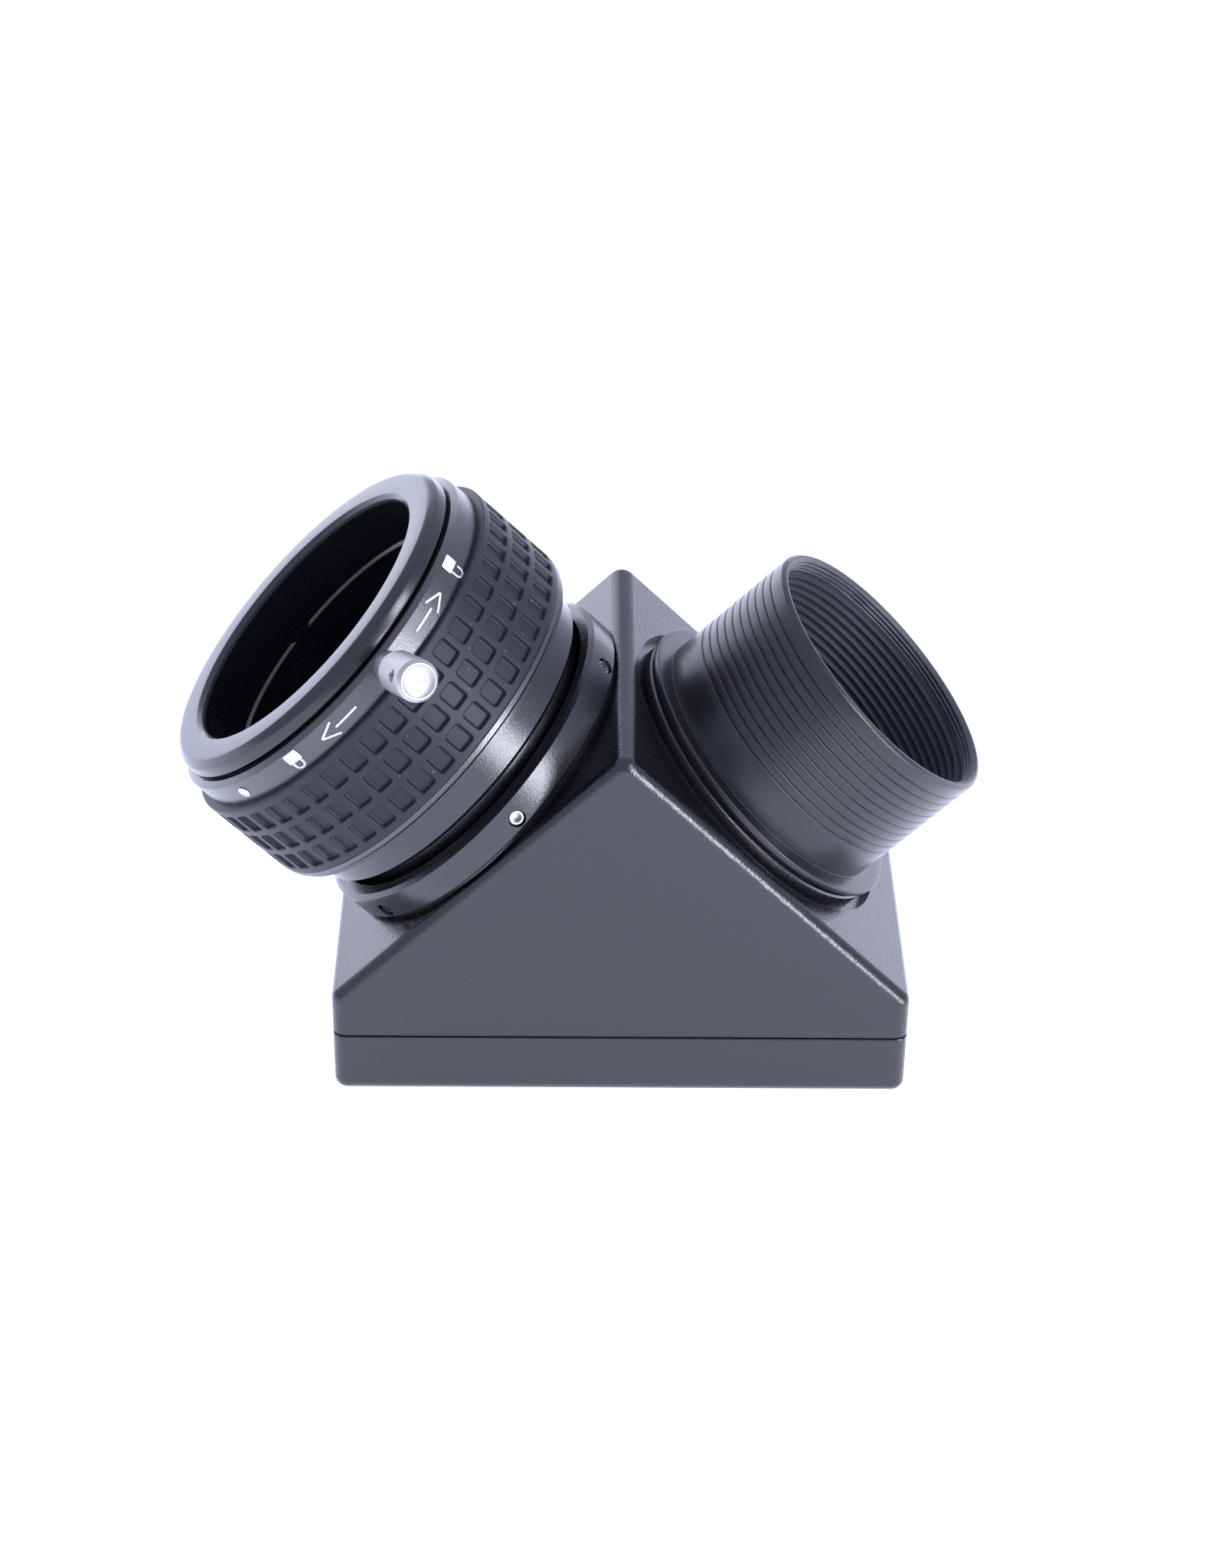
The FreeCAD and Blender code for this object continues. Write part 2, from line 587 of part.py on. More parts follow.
def make_light_seal():
    """A square-section cord, laid once round in the cover's groove."""
    body = new_body("light_seal", upright(0, 0, (seam - size["seal_height"]).value))
    length, depth = seal_middle()
    half_seal = size["seal_width"] * 0.5
    face = outline(body, "seal_outside", "XY_Plane", block_corners(length + half_seal, depth + half_seal))
    padded(body, "seal_slab", face, size["seal_height"])
    hole = outline(body, "seal_inside", "XY_Plane", block_corners(length - half_seal, depth - half_seal))
    pocketed(body, "seal_opening", hole, size["seal_height"], upwards=True)
    return body


def make_cover_screws():
    """Countersunk screws, their heads just under the underside."""
    head = size["cover_screw_head"]
    shank = size["cover_screw_radius"]
    low = size["cover_screw_sink"]
    socket = size["cover_screw_socket"]
    floor = low + size["cover_screw_socket_depth"]
    end = seam + size["cover_screw_grip"]
    edge = size["edge_break"]
    corners = [(socket, low), (head, low), (shank, low + head - shank), (shank, end - edge),
               (shank - edge, end), (0, end), (0, floor), (socket, floor)]
    screws = []
    for number, (x, y) in enumerate(COVER_SCREW_SPOTS, start=1):
        screws.append(turned(f"cover_screw_{number}", corners, upright(x, y, 0)))
    return group("cover_screws", screws)


# ---------------------------------------------------------------- mirror and its cell
def oval_slab(name, long_half, short_half, height, placement):
    """An oval plate, its long way along X."""
    rim = document.addObject("Part::Ellipse", name + "_rim")
    bind(rim, MajorRadius=long_half, MinorRadius=short_half)
    slab = document.addObject("Part::Extrusion", name)
    slab.Base = rim
    slab.DirMode = "Custom"
    slab.Dir = FreeCAD.Vector(0, 0, 1)
    slab.Solid = True
    bind(slab, LengthFwd=height)
    slab.Placement = placement
    slab.Label = name
    return slab


def make_mirror():
    """The glass and, on top of it, its reflecting coat."""
    glass = oval_slab("mirror_glass", mirror_half_long, mirror_half_short, size["mirror_thickness"],
                      upright(0, 0, mirror_foot.value))
    coat = oval_slab("mirror_coating", mirror_half_long, mirror_half_short, size["coating_thickness"],
                     upright(0, 0, (axis_height - size["coating_thickness"]).value))
    return glass, coat


def round_cutter(name, placement, radius, length):
    """A loose cylinder to cut with."""
    cutter = document.addObject("Part::Cylinder", name)
    bind(cutter, Radius=radius, Height=length)
    cutter.Placement = placement
    return cutter


def make_mirror_cell():
    """A tray on the cover with an oval pocket for the glass."""
    tray = document.addObject("Part::Box", "cell_tray")
    bind(tray, Length=cell_half_length * 2.0, Width=cell_half_depth * 2.0, Height=size["cell_height"])
    tray.Placement = upright(-cell_half_length.value, -cell_half_depth.value, seam.value)
    pocket = oval_slab("cell_pocket", mirror_half_long + size["mirror_gap"],
                       mirror_half_short + size["mirror_gap"], size["cell_height"],
                       upright(0, 0, mirror_foot.value))
    tools = [pocket]
    play = size["cell_screw_play"]
    for number, (x, y) in enumerate(CELL_SCREW_SPOTS, start=1):
        tools.append(round_cutter(f"cell_hole_{number}", upright(x, y, seam.value - PAST),
                                  size["cell_screw_radius"] + play, size["cell_height"] + 2.0 * PAST))
        tools.append(round_cutter(f"cell_sink_{number}", upright(x, y, cell_head_level.value),
                                  size["cell_screw_head"] + play, size["cell_height"]))
    tap_depth = size["clip_screw_length"] + TAP_ROOM
    for number, (x, y) in enumerate(CLIP_SPOTS, start=1):
        tools.append(round_cutter(f"cell_clip_tap_{number}", upright(x, y, (cell_top - tap_depth).value),
                                  size["clip_screw_radius"] + size["fit_gap"], tap_depth + PAST))
    cutter = document.addObject("Part::MultiFuse", "cell_cutter")
    cutter.Shapes = tools
    cell = document.addObject("Part::Cut", "mirror_cell")
    cell.Label = "mirror_cell"
    cell.Base = tray
    cell.Tool = cutter
    return cell


def cap_screws(label, spots, shank, head, low, under_head, head_height):
    """Upright cap screws with a socket, one on each spot."""
    top = under_head + head_height
    socket = shank * SOCKET_SHARE
    socket_floor = top - head_height * SOCKET_SHARE
    edge = size["edge_break"]
    corners = [(0, low), (shank - edge, low), (shank, low + edge), (shank, under_head), (head, under_head),
               (head, top), (socket, top), (socket, socket_floor), (0, socket_floor)]
    screws = []
    for number, (x, y) in enumerate(spots, start=1):
        screws.append(turned(f"{label}_{number}", corners, upright(x, y, 0)))
    return group(label + "s", screws)


def make_cell_screws():
    return cap_screws("cell_screw", CELL_SCREW_SPOTS, size["cell_screw_radius"], size["cell_screw_head"],
                      seam - size["cell_screw_length"], cell_head_level, size["cell_screw_head_height"])


def make_mirror_clips():
    """Spring sheets on the cell, stepped up so that each tip rests on the coated glass."""
    sheet = size["clip_sheet"]
    foot = cell_top
    rise = axis_height
    back = -(size["clip_width"] * 0.5)
    bend = size["clip_bend"]
    corners = [(back, foot), (bend, foot), (bend, rise), (size["clip_reach"], rise),
               (size["clip_reach"], rise + sheet), (bend - sheet, rise + sheet), (bend - sheet, foot + sheet),
               (back, foot + sheet)]
    clips = []
    for number, (x, y) in enumerate(CLIP_SPOTS, start=1):
        inwards = -90.0 if y > 0 else 90.0
        placement = FreeCAD.Placement(FreeCAD.Vector(x, y, 0), turned_about((0, 0, 1), inwards))
        body = new_body(f"mirror_clip_{number}", placement)
        profile = outline(body, f"clip_profile_{number}", "XZ_Plane", corners)
        padded(body, f"clip_sheet_{number}", profile, size["clip_width"], symmetric=True)
        round_tool(body, f"clip_hole_{number}", True, upright(0, 0, foot.value - PAST),
                   size["clip_screw_radius"] + size["fit_gap"], sheet + 2.0 * PAST)
        clips.append(body)
    return group("mirror_clips", clips)


def make_clip_screws():
    return cap_screws("clip_screw", CLIP_SPOTS, size["clip_screw_radius"], size["clip_screw_head"],
                      cell_top - size["clip_screw_length"], cell_top + size["clip_sheet"],
                      size["clip_screw_head_height"])


# ---------------------------------------------------------------- right port: port ring and nosepiece
def make_nose_port_ring():
    """A ring pressed in the right port, tapped inside for the nosepiece."""
    spigot = port_bore_right - size["fit_gap"]
    recess_floor = seat - size["recess_depth"]
    lip = nose_thread - size["port_ring_lip"]
    lip_top = port_floor + size["port_ring_lip_height"]
    edge = size["edge_break"]
    return turned("nose_port_ring", [
        (lip, port_floor), (spigot, port_floor), (spigot, recess_floor),
        (port_ring_radius, recess_floor), (port_ring_radius, port_ring_top - edge),
        (port_ring_radius - edge, port_ring_top), (nose_thread, port_ring_top),
        (nose_thread, lip_top), (lip, lip_top)], RIGHT_PORT)


def make_nosepiece():
    """The barrel: grooves outside, filter thread and baffle grooves inside."""
    outer = size["nose_radius"]
    spigot = nose_thread - size["fit_gap"]
    flange = nose_flange_radius
    neck = flange - size["nose_neck_inset"]
    edge = size["edge_break"]
    spigot_foot = port_floor + size["port_ring_lip_height"] + size["nose_spigot_gap"]
    corners = [(nose_bore, spigot_foot), (spigot, spigot_foot), (spigot, port_ring_top),
               (neck, port_ring_top), (neck, nose_flange_foot), (flange - edge, nose_flange_foot),
               (flange, nose_flange_foot + edge), (flange, nose_foot - edge), (flange - edge, nose_foot),
               (outer, nose_foot)]
    half_groove = size["nose_groove_width"] * 0.5
    for number in reversed(range(NOSE_GROOVE_COUNT)):
        middle = nose_rim - size["nose_groove_first"] - size["nose_groove_pitch"] * float(number)
        corners += [(outer, middle - half_groove), (outer - size["nose_groove_depth"], middle),
                    (outer, middle + half_groove)]
    rim_round = size["nose_rim_round"]
    corners += [(outer, nose_rim - rim_round),
                (outer - rim_round * SOFT_SHARE, nose_rim - rim_round * SOFT_SHARE),
                (outer - rim_round, nose_rim),
                (filter_thread_radius + size["filter_mouth"], nose_rim),
                (filter_thread_radius, nose_rim - size["filter_mouth"])]
    thread_end = nose_rim - size["filter_thread_depth"]
    corners += [(filter_thread_radius, thread_end), (nose_bore, thread_end)]
    crest = size["baffle_pitch"] * CREST_SHARE
    floor = nose_bore + size["baffle_depth"]
    for number in range(BAFFLE_COUNT):
        start = thread_end - size["baffle_pitch"] * float(number) - crest
        corners += [(nose_bore, start), (floor, start - crest * 0.5),
                    (floor, start - crest * 3.5), (nose_bore, start - crest * 4.0)]
    return turned("nosepiece", corners, RIGHT_PORT)


# ---------------------------------------------------------------- left port: change ring and set screws
def set_screw_angles():
    return [SET_SCREW_START + 360.0 / SET_SCREW_COUNT * number for number in range(SET_SCREW_COUNT)]


def make_change_ring():
    """The quick-change ring on the left port: a socket for the clamp's dovetail and six tapped holes."""
    outer = change_ring_radius
    waist = outer - size["change_ring_undercut"]
    gap_top = seat + size["change_ring_gap"]
    floor = seat + size["dovetail_foot"] - size["dovetail_gap"]
    bevel = size["change_ring_bevel"]
    edge = size["edge_break"]
    spigot = port_bore_left - size["fit_gap"]
    body = turned("change_ring", [
        (stop_bore, port_floor), (spigot, port_floor), (spigot, seat), (waist, seat),
        (waist, gap_top), (outer - edge, gap_top), (outer, gap_top + edge),
        (outer, change_top - bevel * BEVEL_SHARE), (outer - bevel, change_top),
        (socket_radius + edge, change_top), (socket_radius, change_top - edge),
        (socket_radius, floor), (stop_bore, floor)], LEFT_PORT)
    for number, angle in enumerate(set_screw_angles(), start=1):
        start = socket_radius - PAST
        round_tool(body, f"change_ring_tap_{number}", True,
                   across(angle, set_screw_level.value, start.value),
                   size["set_screw_radius"] + size["fit_gap"], outer - start + PAST)
    return body


def dovetail_radius(level):
    """Radius of the clamp body's dovetail cone at a level above its wide foot."""
    drop = (as_size(level) - size["edge_break"]) * size["dovetail_slope"].value
    return socket_radius - size["dovetail_gap"] - drop


def make_set_screws():
    """Set screws with a blunt cone that faces the clamp's dovetail."""
    radius = size["set_screw_radius"]
    point = radius * POINT_SHARE
    cone = radius - point
    # the point's lower edge is nearest to the dovetail, which is widest there
    widest = dovetail_radius(size["set_screw_height"] - size["dovetail_foot"] - point)
    reach = set_screw_outer - (widest + size["set_screw_point_gap"])
    socket = size["set_screw_socket"]
    floor = reach - size["set_screw_socket_depth"]
    edge = size["edge_break"]
    corners = [(0, 0), (point, 0), (radius, cone), (radius, reach - edge), (radius - edge, reach),
               (socket, reach), (socket, floor), (0, floor)]
    screws = []
    for number, angle in enumerate(set_screw_angles(), start=1):
        place = across(angle, set_screw_level.value, set_screw_outer.value - reach.value)
        screws.append(turned(f"set_screw_{number}", corners, LEFT_PORT * place))
    return group("set_screws", screws)


# ---------------------------------------------------------------- left port: clamp body
def make_clamp_body():
    """Sleeve with the dovetail foot, the stepped band, the rear flange and three jaw windows."""
    bore = eyepiece_bore
    sleeve = sleeve_radius
    foot = seat + size["dovetail_foot"]
    edge = size["edge_break"]
    cone_foot = dovetail_radius(edge)
    cone_top = dovetail_radius(size["dovetail_height"])
    band_foot = seat + size["body_band_foot"]
    band = body_band_radius
    bevel = size["body_band_bevel"]
    flange = lock_lip_radius - size["body_flange_inset"]
    bearing = rear_bearing_radius
    stop = seat + size["stop_rise"]
    body = turned("clamp_body", [
        (stop_bore, foot), (cone_foot - edge, foot), (cone_foot, foot + edge),
        (cone_top, foot + size["dovetail_height"]),
        (cone_top, band_foot), (band - bevel, band_foot), (band, band_foot + bevel), (band, flange_foot),
        (flange, flange_foot), (flange, flange_top),
        (bearing, flange_top), (bearing, bearing_top), (sleeve, bearing_top), (sleeve, sleeve_end),
        (bore, sleeve_end), (bore, stop), (stop_bore, stop)], CLAMP)

    inner = stop_bore * 0.5
    window = body.newObject("PartDesign::SubtractiveBox", "clamp_window")
    half_window = jaw_half_width + size["jaw_gap"]
    bind(window, Length=jaw_radius - inner + OVERCUT, Width=half_window * 2.0,
         Height=window_top - window_foot)
    window.Placement = upright(inner.value, -half_window.value, window_foot.value)
    windows = body.newObject("PartDesign::PolarPattern", "clamp_windows")
    windows.Originals = [window]
    windows.Axis = (origin_plane(body, "Z_Axis"), [""])
    windows.Angle = 360.0
    windows.Occurrences = JAW_COUNT
    body.Tip = windows
    document.recompute()

    round_tool(body, "clamp_stop_pin_hole", True,
               across(stop_pin_angle(), lever_level.value, stop_pin_foot.value),
               size["stop_pin_radius"], sleeve - stop_pin_foot + PAST)
    return body


def stop_pin_angle():
    """Angle of the stop pin, at the start of its slot when the clamp is released."""
    half_pin = math.degrees(size["stop_pin_radius"].value / sleeve_radius.value)
    return half_pin + size["stop_play"].value


def make_stop_pin():
    pin = document.addObject("Part::Cylinder", "stop_pin")
    pin.Label = "stop_pin"
    bind(pin, Radius=size["stop_pin_radius"],
         Height=sleeve_radius + size["stop_pin_rise"] - stop_pin_foot)
    pin.Placement = CLAMP * across(stop_pin_angle(), lever_level.value, stop_pin_foot.value)
    return pin


def make_slip_rings():
    """The thin rings that keep the lock ring off the collar and off the rear flange."""
    washer = turned("slip_washer", ring_corners(
        sleeve_radius + size["fit_gap"], collar_radius - size["washer_inset"],
        collar_rear - size["washer_height"], collar_rear), CLAMP)
    ring = turned("rear_slip_ring", ring_corners(
        rear_bearing_radius + size["fit_gap"], lock_lip_radius - size["slip_ring_inset"],
        flange_top, flange_top + size["slip_ring_height"]), CLAMP)
    return washer, ring


def make_front_collar():
    """The bevelled collar that closes the clamp's front."""
    bore = eyepiece_bore
    mouth = size["collar_mouth"]
    return turned("front_collar", [
        (sleeve_radius, collar_rear), (collar_radius, collar_rear),
        (collar_radius - size["edge_break"], collar_face - size["collar_bevel"]),
        (collar_radius - size["collar_rim"], collar_face),
        (bore + mouth, collar_face), (bore, collar_face - mouth),
        (bore, sleeve_end), (sleeve_radius, sleeve_end)], CLAMP)


# ---------------------------------------------------------------- left port: lock ring, grip and lever
def make_lock_ring():
    """The twisting ring: rear lip, seat for the rubber, printed band, stop slot and lever hole."""
    cavity = cam_cavity_radius
    front = sleeve_radius + size["bearing_gap"]
    lip = lock_lip_radius
    edge = size["edge_break"] * 0.5
    band = lock_band_radius
    body = turned("lock_ring", [
        (cavity, lock_rear), (lip - edge, lock_rear), (lip, lock_rear + edge), (lip, grip_rear),
        (grip_seat_radius, grip_rear), (grip_seat_radius, lock_step), (band, lock_step),
        (band - edge, lock_front - size["lock_band_bevel"]), (lock_face_radius, lock_front),
        (front, lock_front), (front, front_bearing_foot), (cavity, front_bearing_foot)], CLAMP)

    half_slot = size["stop_slot_width"] * 0.5
    slot = outline(body, "lock_slot_profile", "XZ_Plane",
                   ring_corners(front - PAST, sleeve_radius + size["stop_slot_depth"],
                                lever_level - half_slot, lever_level + half_slot))
    groove = body.newObject("PartDesign::Groove", "lock_slot")
    groove.Profile = slot
    groove.ReferenceAxis = (slot, ["V_Axis"])
    groove.Angle = size["lock_turn"].value + 2.0 * stop_pin_angle()
    slot.Visibility = False

    round_tool(body, "lever_stud_hole", True, across(LEVER_ANGLE, lever_level.value, front.value - PAST),
               size["lever_stud_radius"] + size["fit_gap"], band - front + 2.0 * PAST)
    round_tool(body, "lever_spot_face", True,
               across(LEVER_ANGLE, lever_level.value, lever_spot_floor.value),
               size["lever_neck_radius"] + size["lever_spot_gap"], OVERCUT)
    return body


def make_rubber_grip():
    """The rubber sleeve on the lock ring."""
    inner = grip_seat_radius
    outer = grip_radius
    crown = size["grip_crown"]
    return turned("rubber_grip", [
        (inner, grip_rear), (outer - crown, grip_rear), (outer, grip_rear + crown),
        (outer, lock_step - crown), (outer - crown, lock_step), (inner, lock_step)], CLAMP)


def make_lever():
    """The knob, turned about its own radial axis, and the stud that holds it."""
    floor = lever_spot_floor
    level = lever_level.value
    neck_end = size["lever_neck_length"]
    head_foot = neck_end + size["lever_flare_length"]
    tip = size["lever_length"]
    stud_top = size["lever_stud_depth"]
    stud_hole = size["lever_stud_radius"] + size["fit_gap"]
    edge = size["lever_round"]
    head = size["lever_radius"]
    place = across(LEVER_ANGLE, level, floor.value)
    knob = turned("lever_knob", [
        (stud_hole, 0), (size["lever_neck_radius"], 0), (size["lever_neck_radius"], neck_end),
        (head, head_foot), (head, tip - edge),
        (head - edge * SOFT_SHARE, tip - edge * SOFT_SHARE), (head - edge, tip),
        (0, tip), (0, stud_top), (stud_hole, stud_top)], CLAMP * place)
    hole_level = (tip - size["lever_hole_inset"]).value
    hole = FreeCAD.Placement(FreeCAD.Vector(-head.value - PAST, 0, hole_level), turned_about((0, 1, 0), 90))
    round_tool(knob, "lever_cross_hole", True, hole, size["lever_hole_radius"], (head + PAST) * 2.0)

    start = sleeve_radius + size["bearing_gap"] + size["edge_break"]
    stud = turned("lever_stud", [
        (0, 0), (size["lever_stud_radius"], 0), (size["lever_stud_radius"], floor + stud_top - start),
        (0, floor + stud_top - start)], CLAMP * across(LEVER_ANGLE, level, start.value))
    return knob, stud


# ---------------------------------------------------------------- left port: cam ring, jaws and followers
def cam_drop(degrees):
    """Archimedean cam: the same inward step for every degree of turn."""
    return size["jaw_travel"].value / size["lock_turn"].value * degrees


def cam_wire():
    """Inner outline of the cam ring: three ramps with relief arcs between them."""
    reach = cam_reach.value
    relief = (cam_reach + size["cam_relief"]).value
    margin = size["cam_margin"].value
    last = size["lock_turn"].value + margin
    share = 360.0 / JAW_COUNT

    def point(radius, degrees):
        radians = math.radians(degrees)
        return FreeCAD.Vector(radius * math.cos(radians), radius * math.sin(radians), 0)

    def ramp_point(degrees, offset):
        return point(reach - cam_drop(degrees), offset + degrees)

    edges = []
    for number in range(JAW_COUNT):
        offset = share * number
        middle = (last - margin) / 2.0
        for low, high in ((-margin, middle), (middle, last)):
            edges.append(Part.Arc(ramp_point(low, offset), ramp_point((low + high) / 2.0, offset),
                                  ramp_point(high, offset)).toShape())
        after = offset + share - margin
        relief_start = point(relief, offset + last)
        relief_end = point(relief, after)
        edges.append(Part.LineSegment(ramp_point(last, offset), relief_start).toShape())
        relief_middle = point(relief, (offset + last + after) / 2.0)
        edges.append(Part.Arc(relief_start, relief_middle, relief_end).toShape())
        edges.append(Part.LineSegment(relief_end, ramp_point(-margin, offset + share)).toShape())
    return Part.Wire(edges)


def make_cam_ring():
    """A ring pressed into the lock ring; its spiral ramps push the jaws in."""
    rim = Part.Wire([Part.makeCircle(cam_cavity_radius.value)])
    face = Part.Face([rim, cam_wire()])
    face.validate()
    height = size["cam_height"].value
    ring = document.addObject("Part::Feature", "cam_ring")
    ring.Label = "cam_ring"
    ring.Shape = face.extrude(FreeCAD.Vector(0, 0, height))
    ring.Placement = CLAMP * upright(0, 0, follower_level.value - height / 2.0)
    return ring


def jaw_angle(number):
    return 360.0 / JAW_COUNT * (number - 1)


def make_jaw(number):
    """A curved jaw with parallel sides, so that it can slide straight in its window."""
    label = f"clamp_jaw_{number}"
    place = CLAMP * FreeCAD.Placement(FreeCAD.Vector(), turned_about((0, 0, 1), jaw_angle(number)))
    bore = jaw_bore
    mouth = size["jaw_mouth"]
    body = turned(label, [
        (bore, jaw_foot), (jaw_radius, jaw_foot), (jaw_radius, jaw_top),
        (bore + mouth, jaw_top), (bore, jaw_top - mouth)], place)
    half = jaw_half_width
    reach = jaw_radius + PAST
    sides = [(-reach, -reach, reach - half), (-reach, half, reach - half)]
    for index, (x, y, width) in enumerate(sides, start=1):
        trim = body.newObject("PartDesign::SubtractiveBox", f"{label}_side_{index}")
        bind(trim, Length=reach * 2.0, Width=width, Height=size["jaw_length"] + 2.0 * PAST)
        trim.Placement = upright(x.value, y.value, jaw_foot.value - PAST)
    back = body.newObject("PartDesign::SubtractiveBox", f"{label}_back")
    bind(back, Length=reach, Width=reach * 2.0, Height=size["jaw_length"] + 2.0 * PAST)
    back.Placement = upright(-reach.value, -reach.value, jaw_foot.value - PAST)
    round_tool(body, f"{label}_pin_hole", True, across(0, follower_level.value, follower_seat.value),
               size["follower_radius"], size["follower_depth"] + PAST)
    return body


def make_follower(number):
    """The hardened pin on which a jaw rides along its cam."""
    place = CLAMP * FreeCAD.Placement(FreeCAD.Vector(), turned_about((0, 0, 1), jaw_angle(number)))
    radius = size["follower_radius"]
    length = follower_tip - follower_seat
    edge = size["edge_break"]
    return turned(f"cam_follower_{number}", [
        (0, 0), (radius, 0), (radius, length - edge), (radius - edge, length), (0, length)],
        place * across(0, follower_level.value, follower_seat.value))


# ---------------------------------------------------------------- build, check and write
def build():
    """Every named piece of the part, in order."""
    glass, coating = make_mirror()
    washer, slip_ring = make_slip_rings()
    knob, stud = make_lever()
    pieces = [
        make_housing(), make_base_cover(), make_light_seal(), make_cover_screws(),
        glass, coating, make_mirror_cell(), make_cell_screws(), make_mirror_clips(), make_clip_screws(),
        make_nose_port_ring(), make_nosepiece(), make_change_ring(), make_set_screws(),
        make_clamp_body(), make_stop_pin(), washer, slip_ring, make_front_collar(),
        make_lock_ring(), make_rubber_grip(), knob, stud, make_cam_ring(),
    ]
    for number in range(1, JAW_COUNT + 1):
        pieces.append(make_jaw(number))
        pieces.append(make_follower(number))
    return pieces


def check_and_write(pieces):
    """Stop on any failed feature or bad solid, then write each piece's STEP file."""
    document.recompute()
    for item in document.Objects:
        if "Invalid" in item.State or "Error" in item.State:
            raise RuntimeError(f"{item.Name} failed: {item.State}")
    os.makedirs(PARTS_FOLDER, exist_ok=True)
    for piece in pieces:
        shape = piece.Shape
        if shape.isNull() or not shape.isValid():
            raise RuntimeError(f"{piece.Label} has no valid shape")
        shape.exportStep(os.path.join(PARTS_FOLDER, piece.Label + ".step"))
        print(f"{piece.Label:18s} {len(shape.Solids)} solids {shape.Volume:10.1f} mm3")


check_and_write(build())
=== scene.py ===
import math

import bmesh
import bpy
import numpy as np
from mathutils import Matrix, Vector


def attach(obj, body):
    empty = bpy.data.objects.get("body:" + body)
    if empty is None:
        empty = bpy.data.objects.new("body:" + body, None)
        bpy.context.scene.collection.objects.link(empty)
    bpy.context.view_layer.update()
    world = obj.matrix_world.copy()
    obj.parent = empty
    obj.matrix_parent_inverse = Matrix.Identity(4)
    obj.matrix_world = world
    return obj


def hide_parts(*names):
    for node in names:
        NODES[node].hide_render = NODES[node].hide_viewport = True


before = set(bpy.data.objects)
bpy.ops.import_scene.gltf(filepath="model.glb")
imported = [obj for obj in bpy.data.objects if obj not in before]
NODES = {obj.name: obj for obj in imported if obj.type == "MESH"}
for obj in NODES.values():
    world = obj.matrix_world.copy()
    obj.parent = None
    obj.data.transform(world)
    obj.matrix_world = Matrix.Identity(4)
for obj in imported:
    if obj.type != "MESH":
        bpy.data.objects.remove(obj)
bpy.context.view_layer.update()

# Lengths are in millimetres and angles in degrees until a shape is put into its mesh, in metres.
MM = 0.001

# ports: both axes lean 45 degrees and cross over the middle of the base
AXIS_HEIGHT = 22.2
SLANT = math.sqrt(0.5)
NOSE_SIDE, CLAMP_SIDE = 1, -1

# grip: the moulded rubber sleeve on the lock ring, and the pockets in it
GRIP_REAR, GRIP_FRONT = 51.35, 69.30
GRIP_SEAT, GRIP_RADIUS = 33.0, 35.45
GRIP_CROWN = 0.45
POCKETS_ROUND = 47
POCKET_PHASE = 305.2
POCKET_ROWS = (54.87, 60.24, 65.61)
POCKET_WIDTH, POCKET_HEIGHT = 3.62, 4.30
POCKET_CORNER, POCKET_WALL, POCKET_DEPTH = 0.75, 0.42, 0.80
# how far from a pocket's middle its grid lines lie: close together down its wall
POCKET_LINES = np.array([0.0, 0.8, 1.15, 1.32, 1.45, 1.56, 1.66, 1.75, 1.83, 1.95])

# front collar: radii, levels and bevels
SLEEVE, CLAMP_BORE, COLLAR_RADIUS = 28.0, 25.9, 32.5
COLLAR_REAR, COLLAR_THREAD, COLLAR_FACE = 75.1, 76.6, 77.97
COLLAR_TAPER = 0.3
COLLAR_BEVEL_WIDTH, COLLAR_BEVEL_HEIGHT, COLLAR_BORE_BEVEL = 1.5, 1.1, 0.7

# nosepiece: levels along its axis, radii, then its grooves, filter thread and baffles
NOSE_SPIGOT_FOOT, PORT_RING_TOP, NECK_TOP, FLANGE_TOP, NOSE_RIM = 29.8, 35.2, 36.2, 37.4, 63.8
NOSE_SPIGOT, NOSE_NECK, NOSE_FLANGE, NOSE_BARREL, NOSE_BORE = 25.98, 26.8, 28.8, 25.4, 22.9
NOSE_BEVEL, NOSE_BEVEL_WIDTH = 0.55, 0.6
BARREL_GROOVES, GROOVE_FIRST, GROOVE_PITCH = 10, 3.1, 1.79
GROOVE_WIDTH, GROOVE_DEPTH = 0.36, 0.22
FILTER_RADIUS, FILTER_DEPTH = 23.75, 3.75
THREAD_PITCH, THREAD_DEPTH, THREAD_RELIEF, THREAD_FADE = 0.75, 0.42, 0.8, 0.3
ROWS_PER_THREAD = 8
BAFFLES, BAFFLE_PITCH, BAFFLE_GROOVE, BAFFLE_SLOPE, BAFFLE_DEPTH = 14, 1.5, 1.2, 0.15, 0.5
BORE_PAINT_REACH = 24.6

# lever: place of its own axis, and the knob's levels out along it, its radii, dish, hole and rings
LEVER_ANGLE, LEVER_LEVEL, LEVER_FOOT = 300.1, 71.9, 33.4
KNOB_NECK, KNOB_FLARE, KNOB_TIP = 4.0, 6.6, 17.0
KNOB_NECK_RADIUS, KNOB_RADIUS = 2.5, 3.55
KNOB_BEVEL, KNOB_BEVEL_WIDTH = 0.7, 0.55
KNOB_RIM_WIDTH, KNOB_DISH_WALL, KNOB_DISH_EDGE_DEPTH, KNOB_DISH_DEPTH = 0.2, 0.55, 0.3, 0.6
KNOB_HOLE_RADIUS, KNOB_HOLE_DEPTH, KNOB_HOLE_EDGE = 1.1, 2.6, 0.15
KNOB_HOLE_LEVEL, KNOB_HOLE_TURN = 13.5, 211.0
KNOB_RING_PITCH, KNOB_RING_DEPTH = 0.32, 0.03

# seam strip between the housing and its base cover
SEAM_LEVEL, STRIP_HEIGHT, STRIP_INSET, STRIP_DEPTH = 12.5, 0.2, 0.15, 0.8
HOUSING_HALF_WIDTH, HOUSING_HALF_DEPTH, HOUSING_CORNER = 50.0, 33.2, 2.2

